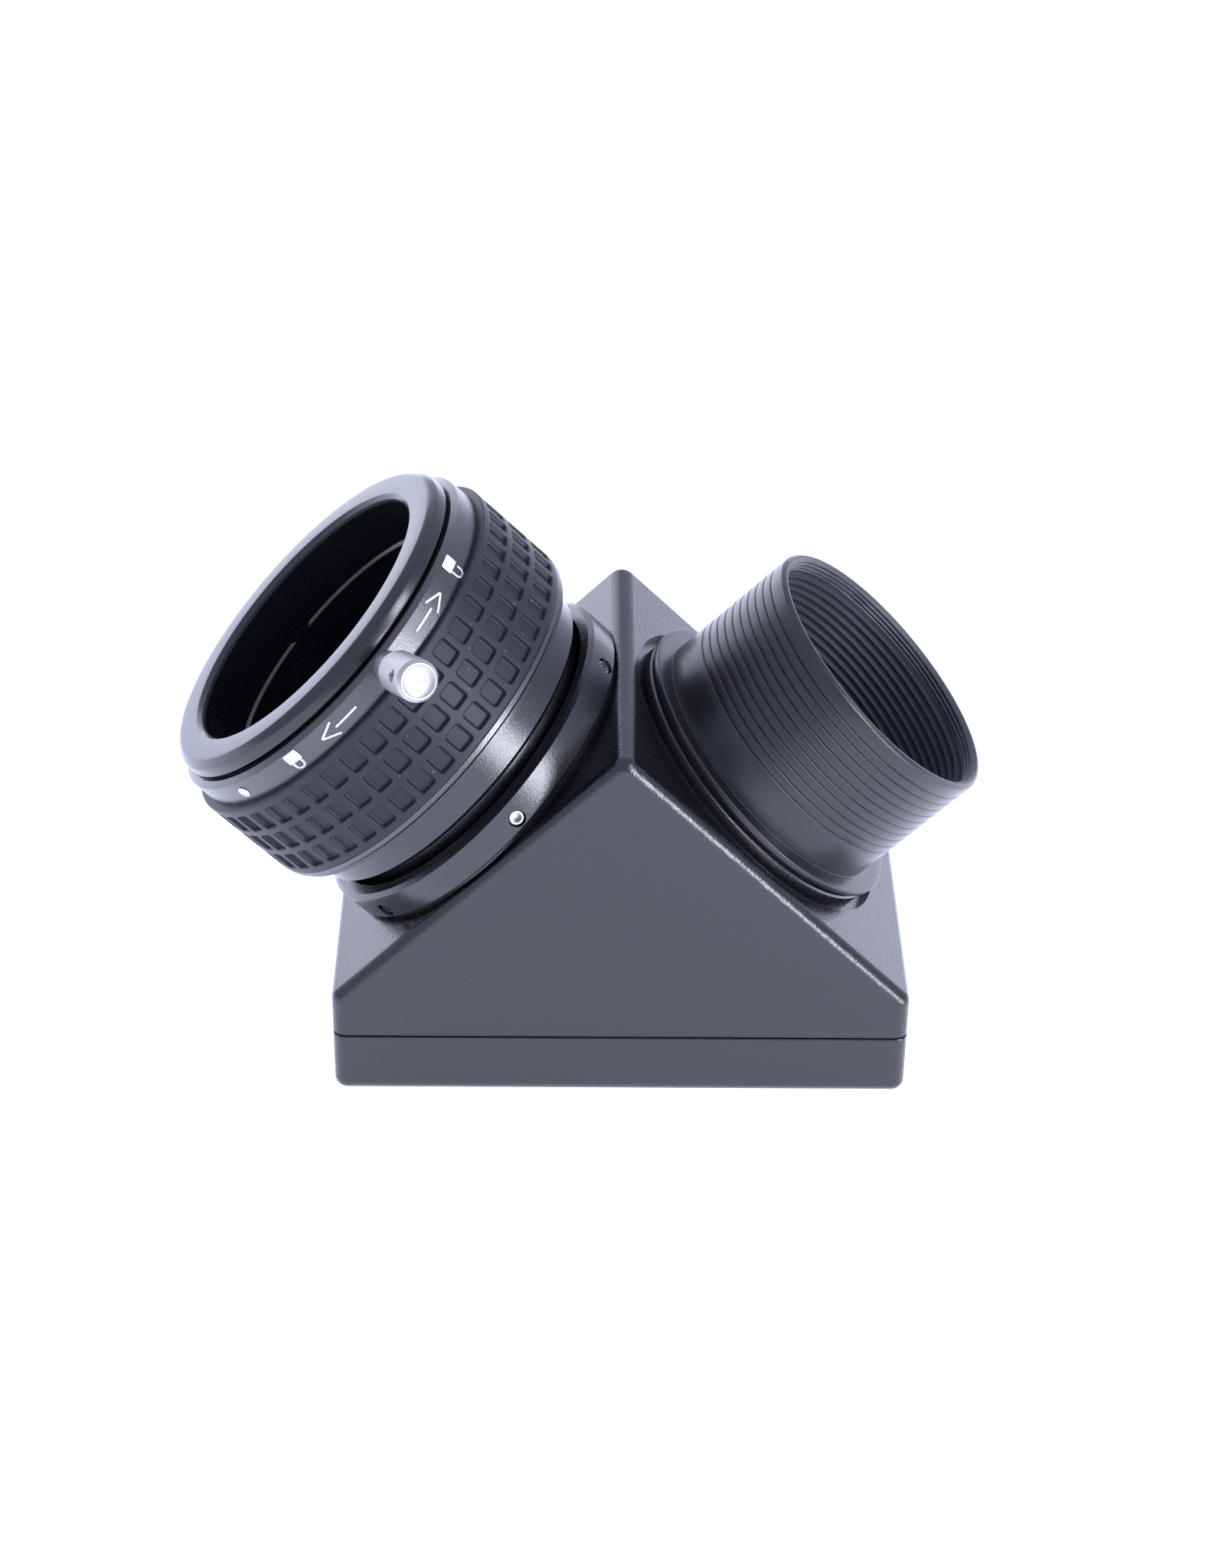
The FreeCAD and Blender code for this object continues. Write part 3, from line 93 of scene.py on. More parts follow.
# printed marks on the lock ring's band: places round the band are angles about the clamp's axis
BAND_RADIUS, MARK_LEVEL = 34.05, 71.45
INK_HEIGHT, INK_STEP, INK_STROKE, INK_BLUNT = 0.03, 0.05, 0.38, 0.15
ARROWS = ((286.1, 277.9, 272.4), (312.7, 320.9, 326.5))     # shaft end, foot of the head, tip
ARROW_WING = 1.4
PADLOCKS = ((262.0, 0.0), (336.0, 0.55))                    # middle, and how far the shackle is lifted
PADLOCK_HALF_WIDTH, PADLOCK_HEIGHT, PADLOCK_DROP = 1.45, 2.1, 0.95
SHACKLE_REACH, SHACKLE_LEG = 0.85, 0.7
DOT_ANGLE, DOT_RADIUS = 237.8, 1.1

# studio: the camera's angles and place, and the point that camera and lights face
CAMERA_YAW, CAMERA_PITCH, CAMERA_ROLL = 0.785, 33.308, 0.798
CAMERA_DISTANCE, CAMERA_SHIFT_RIGHT, CAMERA_SHIFT_UP = 588.14, 1.570, 1.560
CAMERA_LENS, CAMERA_SENSOR = 76.44, 36.0
AIM_HEIGHT = 45.0
TABLE_REACH = 6000.0


# ---------------------------------------------------------------- geometry

def port_axis(side):
    """The direction of a port's axis, outwards from where the two axes cross."""
    return np.array([side * SLANT, 0.0, SLANT])


def port_points(side, radius, angle, level):
    """Points round a port's axis, in metres: out along the axis by level, then off it by radius at angle.
    Angle 0 points down the nosepiece's slope and up the clamp's slope, and 90 degrees points to the back."""
    across = radius * np.cos(angle)
    x = SLANT * (across + side * level)
    y = radius * np.sin(angle)
    z = SLANT * (level - side * across) + AXIS_HEIGHT
    return np.stack([x, y, z], axis=-1) * MM


def grid_piece(name, points, wrap_rows=True, crease=35.0):
    """A mesh from a grid of points, one face between each four neighbours. Every row closes on itself, and so
    does every column unless the first and last rows are ends, whose points are then merged."""
    rows, columns = points.shape[:2]
    index = np.arange(rows * columns).reshape(rows, columns)
    down = np.roll(index, -1, axis=0) if wrap_rows else index[1:]
    index = index if wrap_rows else index[:-1]
    along = np.roll(index, -1, axis=1)
    down_along = np.roll(down, -1, axis=1)
    quads = np.stack([index, along, down_along, down], axis=-1).reshape(-1, 4)
    mesh = bpy.data.meshes.new(name)
    mesh.vertices.add(rows * columns)
    mesh.vertices.foreach_set("co", points.reshape(-1).astype(np.float32))
    mesh.loops.add(quads.size)
    mesh.loops.foreach_set("vertex_index", quads.reshape(-1).astype(np.int32))
    mesh.polygons.add(len(quads))
    mesh.polygons.foreach_set("loop_start", np.arange(0, quads.size, 4, dtype=np.int32))
    mesh.polygons.foreach_set("use_smooth", np.ones(len(quads), dtype=bool))
    mesh.update(calc_edges=True)
    if not wrap_rows:
        solid = bmesh.new()
        solid.from_mesh(mesh)
        bmesh.ops.remove_doubles(solid, verts=solid.verts, dist=1e-7)
        solid.to_mesh(mesh)
        solid.free()
    mesh.set_sharp_from_angle(angle=math.radians(crease))
    piece = bpy.data.objects.new(name, mesh)
    bpy.context.scene.collection.objects.link(piece)
    return piece


def rounded_profile(corners, spacing, closed=True):
    """An outline in (radius, level). A corner (radius, level, rounding) becomes the quadratic curve between
    the points that far before and after it, and straight stretches are cut into steps of spacing. The last
    corner joins the first unless the outline is left open, with both ends on the axis."""
    spots = np.array([corner[:2] for corner in corners], dtype=float)
    stretches = []
    for number, (radius, level, rounding) in enumerate(corners):
        here = np.array([radius, level], dtype=float)
        before, after = spots[number - 1], spots[(number + 1) % len(spots)]
        entry = here + (before - here) * min(rounding / np.linalg.norm(before - here), 0.45)
        leave = here + (after - here) * min(rounding / np.linalg.norm(after - here), 0.45)
        steps = np.linspace(0.0, 1.0, 4 if rounding else 1)[:, None]
        stretches.append((1 - steps) ** 2 * entry + 2 * steps * (1 - steps) * here + steps ** 2 * leave)
    outline = []
    for number, stretch in enumerate(stretches):
        start, end = stretch[-1], stretches[(number + 1) % len(stretches)][0]
        cuts = max(1, int(math.ceil(np.linalg.norm(end - start) / spacing)))
        line = start + (end - start) * np.linspace(0.0, 1.0, cuts + 1)[1:-1, None]
        outline += [stretch, line]
    return np.concatenate(outline if closed else outline[:-1])


def turned_piece(name, side, corners, spacing=2.0, steps=192, relief=None):
    """A turned piece: its closed outline carried once round the port's axis.
    relief(radius, level, angle) returns the cut surface's radius where a thread or pattern changes it."""
    outline = rounded_profile(corners, spacing)
    angle = np.linspace(0.0, 2 * math.pi, steps, endpoint=False)[None, :]
    radius, level = outline[:, :1], outline[:, 1:]
    radius = radius + np.zeros_like(angle) if relief is None else relief(radius, level, angle)
    points = port_points(side, radius, angle, level + np.zeros_like(angle))
    return grid_piece(name, points)


def front_collar():
    """The collar's outline carried round the clamp's axis: a flat face between two bevels, edges eased."""
    corners = [(SLEEVE, COLLAR_REAR, 0.0), (COLLAR_RADIUS, COLLAR_REAR, 0.15),
               (COLLAR_RADIUS - COLLAR_TAPER, COLLAR_FACE - COLLAR_BEVEL_HEIGHT, 0.3),
               (COLLAR_RADIUS - COLLAR_BEVEL_WIDTH, COLLAR_FACE, 0.35),
               (CLAMP_BORE + COLLAR_BORE_BEVEL, COLLAR_FACE, 0.12),
               (CLAMP_BORE, COLLAR_FACE - COLLAR_BORE_BEVEL, 0.12),
               (CLAMP_BORE, COLLAR_THREAD, 0.0), (SLEEVE, COLLAR_THREAD, 0.0)]
    return turned_piece("turned_front_collar", CLAMP_SIDE, corners, steps=256)


def smoothstep(value):
    """The curve 3x^2 - 2x^3, flat at 0 and at 1."""
    value = np.clip(value, 0.0, 1.0)
    return value * value * (3.0 - 2.0 * value)


def rubber_grip():
    """The grip's outline carried round the axis, with rows of pockets pressed into its outside. A pocket's
    depth is its full depth times a smooth step of the distance inside a rounded rectangle."""
    # grid lines round the grip, closest at the pockets' walls
    pitch = 2 * math.pi * GRIP_RADIUS / POCKETS_ROUND
    cell = np.concatenate([-POCKET_LINES[:0:-1], POCKET_LINES, [pitch / 2]])
    centres = np.arange(POCKETS_ROUND)[:, None] * pitch
    angle = (centres + cell).reshape(-1) / GRIP_RADIUS + math.radians(POCKET_PHASE)

    # grid lines along the grip, and how far its rounded ends drop at each
    up_row = POCKET_LINES + (POCKET_HEIGHT - POCKET_WIDTH) / 2
    row = np.concatenate([-up_row[::-1], [0.0], up_row])
    rows = np.concatenate([centre + row for centre in POCKET_ROWS])
    crown = GRIP_CROWN * (1 - np.sin(np.linspace(0.0, math.pi / 2, 6)))
    level = np.unique(np.round(np.concatenate([GRIP_REAR + crown, rows, GRIP_FRONT - crown]), 4))
    ends = np.minimum(level - GRIP_REAR, GRIP_FRONT - level)
    drop = GRIP_CROWN - np.sqrt(np.maximum(GRIP_CROWN ** 2 - np.maximum(GRIP_CROWN - ends, 0.0) ** 2, 0.0))
    outside = GRIP_RADIUS - drop

    # how far inside the nearest pocket's rounded rectangle each point lies
    along = (angle - math.radians(POCKET_PHASE)) * GRIP_RADIUS
    along = (along + pitch / 2) % pitch - pitch / 2
    up = np.min(np.abs(level[:, None] - np.array(POCKET_ROWS)), axis=1)
    side_gap = np.abs(along)[None, :] - (POCKET_WIDTH / 2 - POCKET_CORNER)
    end_gap = up[:, None] - (POCKET_HEIGHT / 2 - POCKET_CORNER)
    reach = np.hypot(np.maximum(side_gap, 0.0), np.maximum(end_gap, 0.0))
    inside = POCKET_CORNER - reach - np.minimum(np.maximum(side_gap, end_gap), 0.0)
    outer = outside[:, None] - POCKET_DEPTH * smoothstep(inside / POCKET_WALL)

    # the seat on the lock ring closes the section
    seat = np.full((2, angle.size), GRIP_SEAT)
    radius = np.concatenate([outer, seat])
    levels = np.concatenate([level, [GRIP_FRONT, GRIP_REAR]])[:, None] + np.zeros_like(radius)
    points = port_points(CLAMP_SIDE, radius, angle[None, :], levels)
    return grid_piece("moulded_rubber_grip", points, crease=50.0)


def nosepiece_outline():
    """Corners of the nosepiece: spigot, shadow groove, flange, grooved barrel, rim, thread and baffles."""
    corners = [(NOSE_BORE, NOSE_SPIGOT_FOOT, 0.1), (NOSE_SPIGOT, NOSE_SPIGOT_FOOT, 0.1),
               (NOSE_SPIGOT, PORT_RING_TOP, 0.0), (NOSE_NECK, PORT_RING_TOP, 0.0),
               (NOSE_NECK, NECK_TOP, 0.0), (NOSE_FLANGE, NECK_TOP, 0.25),
               (NOSE_FLANGE, FLANGE_TOP, 0.3), (NOSE_BARREL, FLANGE_TOP, 0.1)]
    first = NOSE_RIM - GROOVE_FIRST
    for number in reversed(range(BARREL_GROOVES)):
        level = first - number * GROOVE_PITCH
        corners += [(NOSE_BARREL, level - GROOVE_WIDTH / 2, 0.04), (NOSE_BARREL - GROOVE_DEPTH, level, 0.03),
                    (NOSE_BARREL, level + GROOVE_WIDTH / 2, 0.04)]
    corners += [(NOSE_BARREL, NOSE_RIM - NOSE_BEVEL, 0.2), (NOSE_BARREL - NOSE_BEVEL_WIDTH, NOSE_RIM, 0.15),
                (FILTER_RADIUS + NOSE_BEVEL, NOSE_RIM, 0.1), (FILTER_RADIUS, NOSE_RIM - NOSE_BEVEL, 0.05)]
    thread_end = NOSE_RIM - FILTER_DEPTH
    thread_levels = np.arange(NOSE_RIM - NOSE_BEVEL - 0.1, thread_end + 0.1, -THREAD_PITCH / ROWS_PER_THREAD)
    corners += [(FILTER_RADIUS, level, 0.0) for level in thread_levels]
    corners += [(FILTER_RADIUS, thread_end, 0.05), (NOSE_BORE, thread_end, 0.05)]
    floor = NOSE_BORE + BAFFLE_DEPTH
    for number in range(1, BAFFLES + 1):
        end = thread_end - number * BAFFLE_PITCH
        start = end + BAFFLE_GROOVE
        corners += [(NOSE_BORE, start, 0.05), (floor, start - BAFFLE_SLOPE, 0.1),
                    (floor, end + BAFFLE_SLOPE, 0.1), (NOSE_BORE, end, 0.05)]
    return corners


def filter_thread(radius, level, angle):
    """The bore's radius in the filter thread: a triangle wave of the level less the share of a turn, so that
    its crests climb one pitch per turn. It fades in at both ends of the thread."""
    turn = level / THREAD_PITCH - angle / (2 * math.pi)
    wave = np.abs(2 * (turn - np.floor(turn + 0.5)))
    from_rear = level - (NOSE_RIM - FILTER_DEPTH + THREAD_RELIEF)
    from_front = NOSE_RIM - NOSE_BEVEL - level
    in_thread = np.abs(radius - FILTER_RADIUS) < 0.01
    fade = smoothstep(np.minimum(from_rear, from_front) / THREAD_FADE) * in_thread
    return radius + THREAD_DEPTH * fade * (wave - 0.5)


def nosepiece():
    """The nosepiece's outline carried round its axis, with the filter thread cut as a helix."""
    return turned_piece("turned_nosepiece", NOSE_SIDE, nosepiece_outline(), relief=filter_thread)


def lever_points(radius, turn, height):
    """Points round the lever's axis, which stands straight out from the clamp's axis, in metres: out by
    height, then off it by radius at turn. Turn 0 points back down the clamp's axis."""
    angle = math.radians(LEVER_ANGLE)
    along = port_axis(CLAMP_SIDE)
    out = np.array([SLANT * math.cos(angle), math.sin(angle), SLANT * math.cos(angle)])
    sideways = np.array([-SLANT * math.sin(angle), math.cos(angle), -SLANT * math.sin(angle)])
    foot = np.array([0.0, 0.0, AXIS_HEIGHT]) + LEVER_LEVEL * along + LEVER_FOOT * out
    back_part = (radius * np.cos(turn))[..., None] * -along
    side_part = (radius * np.sin(turn))[..., None] * sideways
    return (foot + height[..., None] * out + back_part + side_part) * MM


def lever_knob():
    """The knob's outline, with a dished end, carried round the lever's axis. A cosine of the height cuts fine
    turning rings in its head, and a smooth step of the distance from its line presses in the cross hole."""
    rim = KNOB_RADIUS - KNOB_BEVEL_WIDTH
    dish = rim - KNOB_RIM_WIDTH
    corners = [(0.0, 0.0, 0.0), (KNOB_NECK_RADIUS, 0.0, 0.0), (KNOB_NECK_RADIUS, KNOB_NECK, 0.6),
               (KNOB_RADIUS, KNOB_FLARE, 0.8), (KNOB_RADIUS, KNOB_TIP - KNOB_BEVEL, 0.15),
               (rim, KNOB_TIP, 0.2), (dish, KNOB_TIP, 0.1),
               (dish - KNOB_DISH_WALL, KNOB_TIP - KNOB_DISH_EDGE_DEPTH, 0.4),
               (0.0, KNOB_TIP - KNOB_DISH_DEPTH, 0.0)]
    outline = rounded_profile(corners, spacing=0.08, closed=False)
    turn = np.linspace(0.0, 2 * math.pi, 160, endpoint=False)[None, :]
    radius, height = outline[:, :1] + np.zeros_like(turn), outline[:, 1:] + np.zeros_like(turn)
    side = (np.abs(radius - KNOB_RADIUS) < 0.01) & (height > KNOB_FLARE)
    rings = KNOB_RING_DEPTH * (0.5 - 0.5 * np.cos(2 * math.pi * height / KNOB_RING_PITCH))
    off = np.hypot(height - KNOB_HOLE_LEVEL, radius * np.sin(turn - math.radians(KNOB_HOLE_TURN)))
    hole = KNOB_HOLE_DEPTH * smoothstep((KNOB_HOLE_RADIUS - off) / KNOB_HOLE_EDGE)
    radius = radius - side * np.maximum(rings, hole)
    return grid_piece("turned_lever_knob", lever_points(radius, turn, height), wrap_rows=False)


def block_outline(half_x, half_y, corner):
    """Points once round a rectangle whose corners are quarter circles."""
    turn = np.linspace(0.0, math.pi / 2, 9)
    spots = []
    for quarter, (side_x, side_y) in enumerate(((1, 1), (-1, 1), (-1, -1), (1, -1))):
        angle = turn + quarter * math.pi / 2
        centre = np.array([side_x * (half_x - corner), side_y * (half_y - corner)])
        spots.append(centre + corner * np.stack([np.cos(angle), np.sin(angle)], axis=1))
    return np.concatenate(spots)


def seam_strip():
    """A thin strip laid once round the seam: a flat section carried along the housing's outline."""
    rows = []
    foot = SEAM_LEVEL - STRIP_HEIGHT
    section = ((STRIP_INSET, foot), (STRIP_INSET, SEAM_LEVEL), (STRIP_DEPTH, SEAM_LEVEL), (STRIP_DEPTH, foot))
    for inset, level in section:
        path = block_outline(HOUSING_HALF_WIDTH - inset, HOUSING_HALF_DEPTH - inset, HOUSING_CORNER - inset)
        rows.append(np.column_stack([path, np.full(len(path), level)]))
    return grid_piece("seam_strip", np.stack(rows) * MM)


def printed_line(path, width, blunt):
    """A line of ink on the lock ring's band along a path of (arc, level) points, arcs counted from angle 0.
    A flat slab is carried along the path and narrows as a half circle over blunt at both ends."""
    onward = np.gradient(path, axis=0)
    onward /= np.linalg.norm(onward, axis=1, keepdims=True)
    sideways = np.stack([-onward[:, 1], onward[:, 0]], axis=1)
    place = np.append(0.0, np.cumsum(np.linalg.norm(np.diff(path, axis=0), axis=1)))
    ends = np.minimum(np.minimum(place, place[-1] - place) / blunt, 1.0)
    half = width / 2 * np.sqrt(1 - (1 - ends) ** 2)
    side = np.array([1.0, 1.0, -1.0, -1.0])
    height = np.array([-INK_HEIGHT, INK_HEIGHT, INK_HEIGHT, -INK_HEIGHT])
    spots = path[:, None, :] + (half[:, None] * side)[..., None] * sideways[:, None, :]
    radius = BAND_RADIUS + height + np.zeros_like(spots[..., 0])
    return port_points(CLAMP_SIDE, radius, spots[..., 0] / BAND_RADIUS, spots[..., 1])


def straight(start, end):
    """Points along a straight line, no more than INK_STEP apart."""
    start, end = np.array(start, dtype=float), np.array(end, dtype=float)
    count = int(np.linalg.norm(end - start) / INK_STEP) + 2
    return start + (end - start) * np.linspace(0.0, 1.0, count)[:, None]


def shackle(arc, foot, lift):
    """A padlock's shackle: along one leg, half a circle round and back down the other leg, which ends lift
    short of the padlock's body."""
    near, far, bend = arc - SHACKLE_REACH, arc + SHACKLE_REACH, foot - SHACKLE_LEG - lift
    turn = np.linspace(math.pi, 0.0, 40)[1:-1]
    bow = np.stack([arc + SHACKLE_REACH * np.cos(turn), bend - SHACKLE_REACH * np.sin(turn)], axis=1)
    legs = straight((near, foot), (near, bend)), straight((far, bend), (far, foot - lift))
    return np.concatenate([legs[0], bow, legs[1]])


def mark_lines():
    """Every printed line as its path, its width and how blunt its ends are: an arrow on each side of the
    lever, a closed and an open padlock, and a dot."""
    degree = math.radians(1) * BAND_RADIUS
    lines = []
    for shaft_end, head_foot, tip in ARROWS:
        shaft = straight((shaft_end * degree, MARK_LEVEL), (head_foot * degree, MARK_LEVEL))
        lines.append((shaft, INK_STROKE, INK_BLUNT))
        for wing in (-ARROW_WING, ARROW_WING):
            head = straight((head_foot * degree, MARK_LEVEL + wing), (tip * degree, MARK_LEVEL))
            lines.append((head, INK_STROKE, INK_BLUNT))
    for angle, lift in PADLOCKS:
        arc, level = angle * degree, MARK_LEVEL + PADLOCK_DROP
        body = straight((arc - PADLOCK_HALF_WIDTH, level), (arc + PADLOCK_HALF_WIDTH, level))
        lines.append((body, PADLOCK_HEIGHT, INK_BLUNT))
        lines.append((shackle(arc, MARK_LEVEL, lift), INK_STROKE, INK_BLUNT))
    dot = DOT_ANGLE * degree
    lines.append((straight((dot - DOT_RADIUS, MARK_LEVEL), (dot + DOT_RADIUS, MARK_LEVEL)),
                  2 * DOT_RADIUS, DOT_RADIUS))
    return lines


# ---------------------------------------------------------------- materials

def srgb(code):
    """Linear colour of an sRGB hex code."""
    parts = [int(code[place:place + 2], 16) / 255 for place in (1, 3, 5)]
    linear = [part / 12.92 if part <= 0.04045 else ((part + 0.055) / 1.055) ** 2.4 for part in parts]
    return (*linear, 1.0)


def add(tree, kind, settings=None, links=None):
    """Adds a shader node, sets its properties and free sockets, and links its sockets to other outputs."""
    node = tree.nodes.new(kind)
    for name, value in (settings or {}).items():
        if isinstance(name, int) or name in node.inputs:
            node.inputs[name].default_value = value
        else:
            setattr(node, name, value)
    for name, source in (links or {}).items():
        tree.links.new(source, node.inputs[name])
    return node


def new_material(name, **settings):
    """A material with one principled shader, and its tree, shader and object coordinates."""
    material = bpy.data.materials.new(name)
    material.use_nodes = True
    tree = material.node_tree
    tree.nodes.clear()
    shader = add(tree, "ShaderNodeBsdfPrincipled", settings)
    add(tree, "ShaderNodeOutputMaterial", links={"Surface": shader.outputs["BSDF"]})
    place = add(tree, "ShaderNodeTexCoord").outputs["Object"]
    return material, tree, shader, place


def grain(tree, place, size, detail=2.0):
    """Noise whose lumps are about size millimetres across."""
    return add(tree, "ShaderNodeTexNoise", {"Scale": 0.5 / (size * MM), "Detail": detail},
               {"Vector": place}).outputs["Fac"]


def emboss(tree, shader, height, depth):
    """Bumps the shader by a height of 0 to 1 that stands for depth millimetres."""
    bump = add(tree, "ShaderNodeBump", {"Distance": depth * MM}, {"Height": height})
    tree.links.new(bump.outputs["Normal"], shader.inputs["Normal"])


def spread(tree, value, low, high):
    """Stretches a noise's value, which mostly lies between 0.3 and 0.7, over low to high."""
    return add(tree, "ShaderNodeMapRange", {"From Min": 0.3, "From Max": 0.7, "To Min": low, "To Max": high},
               {"Value": value}).outputs["Result"]


def leather_coat():
    """Fine-textured powder coat on the cast housing: low rounded lumps 0.2 mm across that break up
    highlights into grains, most of all along the rounded edges."""
    material, tree, shader, place = new_material(
        "fine_texture_powder_coat", **{"Base Color": srgb("#050608"), "IOR": 1.52})
    lumps = grain(tree, place, 0.22)
    emboss(tree, shader, lumps, 0.06)
    tree.links.new(spread(tree, lumps, 0.20, 0.28), shader.inputs["Roughness"])
    return material


def satin_anodised():
    """Black anodised turned aluminium, satin: an even dark grey with soft broad highlights. Its grain is
    drawn 0.12 mm across, coarser than the real one, so that it shows."""
    material, tree, shader, place = new_material(
        "satin_black_anodised_turned", **{"Base Color": srgb("#07080a"), "IOR": 1.5})
    fine = grain(tree, place, 0.12)
    emboss(tree, shader, fine, 0.006)
    tree.links.new(spread(tree, fine, 0.28, 0.36), shader.inputs["Roughness"])
    return material


def gloss_anodised():
    """Black anodised turned aluminium, semi-gloss: broad bright highlights with a fine sparkle, whose grains
    are drawn 0.16 mm across, coarser than the real ones, so that they show."""
    material, tree, shader, place = new_material(
        "semi_gloss_black_anodised_turned", **{"Base Color": srgb("#0a0b0e"), "IOR": 1.55})
    fine = grain(tree, place, 0.16)
    emboss(tree, shader, fine, 0.022)
    tree.links.new(spread(tree, fine, 0.20, 0.30), shader.inputs["Roughness"])
    return material


def lathe_cut_anodised():
    """Black anodised aluminium as it leaves the lathe: a close, faint grain and crisp bright edges. The
    grain is drawn 0.14 mm across, coarser than the real one, so that it shows."""
    material, tree, shader, place = new_material(
        "lathe_cut_black_anodised", **{"Base Color": srgb("#07080a"), "IOR": 1.5})
    fine = grain(tree, place, 0.14)
    emboss(tree, shader, fine, 0.008)
    tree.links.new(spread(tree, fine, 0.20, 0.28), shader.inputs["Roughness"])
    return material


def matte_bore_paint():
    """Matte black paint brushed into the light path: a dull grey-black that hides reflections."""
    material, tree, shader, place = new_material(
        "matte_black_bore_paint", **{"Base Color": srgb("#25282d"), "IOR": 1.5})
    dust = grain(tree, place, 0.25)
    emboss(tree, shader, dust, 0.01)
    tree.links.new(spread(tree, dust, 0.40, 0.52), shader.inputs["Roughness"])
    return material


def blasted_anodised():
    """Bead-blasted and black anodised aluminium: tiny dents scatter the light into a grainy glow. They are
    drawn 0.16 mm across, coarser than the real ones, so that they show."""
    material, tree, shader, place = new_material(
        "bead_blasted_black_anodised", **{"Base Color": srgb("#0a0b0e"), "IOR": 1.72})
    dents = grain(tree, place, 0.16)
    emboss(tree, shader, dents, 0.022)
    tree.links.new(spread(tree, dents, 0.24, 0.34), shader.inputs["Roughness"])
    return material


def moulded_rubber():
    """Moulded rubber, matte blue-grey, with a dull bloom and a few specks of dust caught on it. The specks
    are the middles of some cells, which lie about 1.4 mm apart."""
    material, tree, shader, place = new_material(
        "moulded_black_rubber", **{"IOR": 1.5, "Specular IOR Level": 0.2, "Roughness": 0.45})
    bloom = grain(tree, place, 3.0, 4.0)
    tint = add(tree, "ShaderNodeMix", {"data_type": "RGBA", 6: srgb("#191c21"), 7: srgb("#1f2328")},
               {0: bloom}).outputs[2]
    cells = add(tree, "ShaderNodeTexVoronoi", {"Scale": 0.7 / MM}, {"Vector": place})
    speck = add(tree, "ShaderNodeMath", {"operation": "LESS_THAN", 1: 0.085}, {0: cells.outputs["Distance"]})
    pick = add(tree, "ShaderNodeSeparateColor", links={"Color": cells.outputs["Color"]})
    rare = add(tree, "ShaderNodeMath", {"operation": "LESS_THAN", 1: 0.13}, {0: pick.outputs["Red"]})
    dust = add(tree, "ShaderNodeMath", {"operation": "MULTIPLY"},
               {0: speck.outputs["Value"], 1: rare.outputs["Value"]})
    colour = add(tree, "ShaderNodeMix", {"data_type": "RGBA", 7: srgb("#5f656c")},
                 {0: dust.outputs["Value"], 6: tint}).outputs[2]
    tree.links.new(colour, shader.inputs["Base Color"])
    emboss(tree, shader, grain(tree, place, 0.2), 0.012)
    return material


def blasted_steel():
    """Bead-blasted stainless steel: pale and frosted, with a fine sparkle. Its dents are drawn 0.15 mm
    across, coarser than the real ones, so that they show."""
    material, tree, shader, place = new_material(
        "bead_blasted_stainless", **{"Base Color": srgb("#a09e9c"), "Metallic": 1.0})
    dents = grain(tree, place, 0.15)
    emboss(tree, shader, dents, 0.02)
    tree.links.new(spread(tree, dents, 0.38, 0.5), shader.inputs["Roughness"])
    return material


def bright_steel():
    """Ground and polished steel of screws and clips: bright, with slightly duller patches."""
    material, tree, shader, place = new_material(
        "polished_steel", **{"Base Color": srgb("#a3a4a8"), "Metallic": 1.0})
    tree.links.new(spread(tree, grain(tree, place, 0.3), 0.26, 0.40), shader.inputs["Roughness"])
    return material


def mirror_silver():
    """Aluminised first surface of the mirror: a clean, very faintly uneven reflection."""
    material, tree, shader, place = new_material(
        "aluminised_mirror_coat", **{"Base Color": srgb("#e6e9ec"), "Metallic": 1.0})
    tree.links.new(spread(tree, grain(tree, place, 8.0), 0.015, 0.03), shader.inputs["Roughness"])
    return material


def ground_glass():
    """Fine-ground edge and back of the mirror's glass: milky grey-green."""
    material, tree, shader, place = new_material(
        "fine_ground_mirror_glass", **{"Base Color": srgb("#93a29c"), "IOR": 1.47})
    tree.links.new(spread(tree, grain(tree, place, 0.2), 0.45, 0.6), shader.inputs["Roughness"])
    return material


def black_plastic():
    """Plain black acetal and foam cord: dull and even."""
    material, tree, shader, place = new_material(
        "matte_black_acetal", **{"Base Color": srgb("#141416"), "IOR": 1.48})
    tree.links.new(spread(tree, grain(tree, place, 0.4), 0.5, 0.65), shader.inputs["Roughness"])
    return material


def printing_ink():
    """White pad-printed ink: flat, and thinner in spots over the blasted metal."""
    material, tree, shader, place = new_material("white_pad_printed_ink", **{"IOR": 1.45, "Roughness": 0.55})
    wear = grain(tree, place, 0.18)
    colour = add(tree, "ShaderNodeMix", {"data_type": "RGBA", 6: srgb("#9fa1a6"), 7: srgb("#c8cacd")},
                 {0: spread(tree, wear, 0.0, 1.0)}).outputs[2]
    tree.links.new(colour, shader.inputs["Base Color"])
    return material


def light_table_acrylic():
    """Back-lit white acrylic of a light table: even, and bright enough to leave no shadow."""
    material, tree, shader, place = new_material("white_light_table", **{
        "Base Color": srgb("#fafafa"), "Emission Color": srgb("#e2e8ff"), "Emission Strength": 1.35})
    tree.links.new(spread(tree, grain(tree, place, 30.0), 0.8, 0.9), shader.inputs["Roughness"])
    return material


def paint(material, *things):
    """Gives each piece this one material."""
    for thing in things:
        thing.data.materials.clear()
        thing.data.materials.append(material)


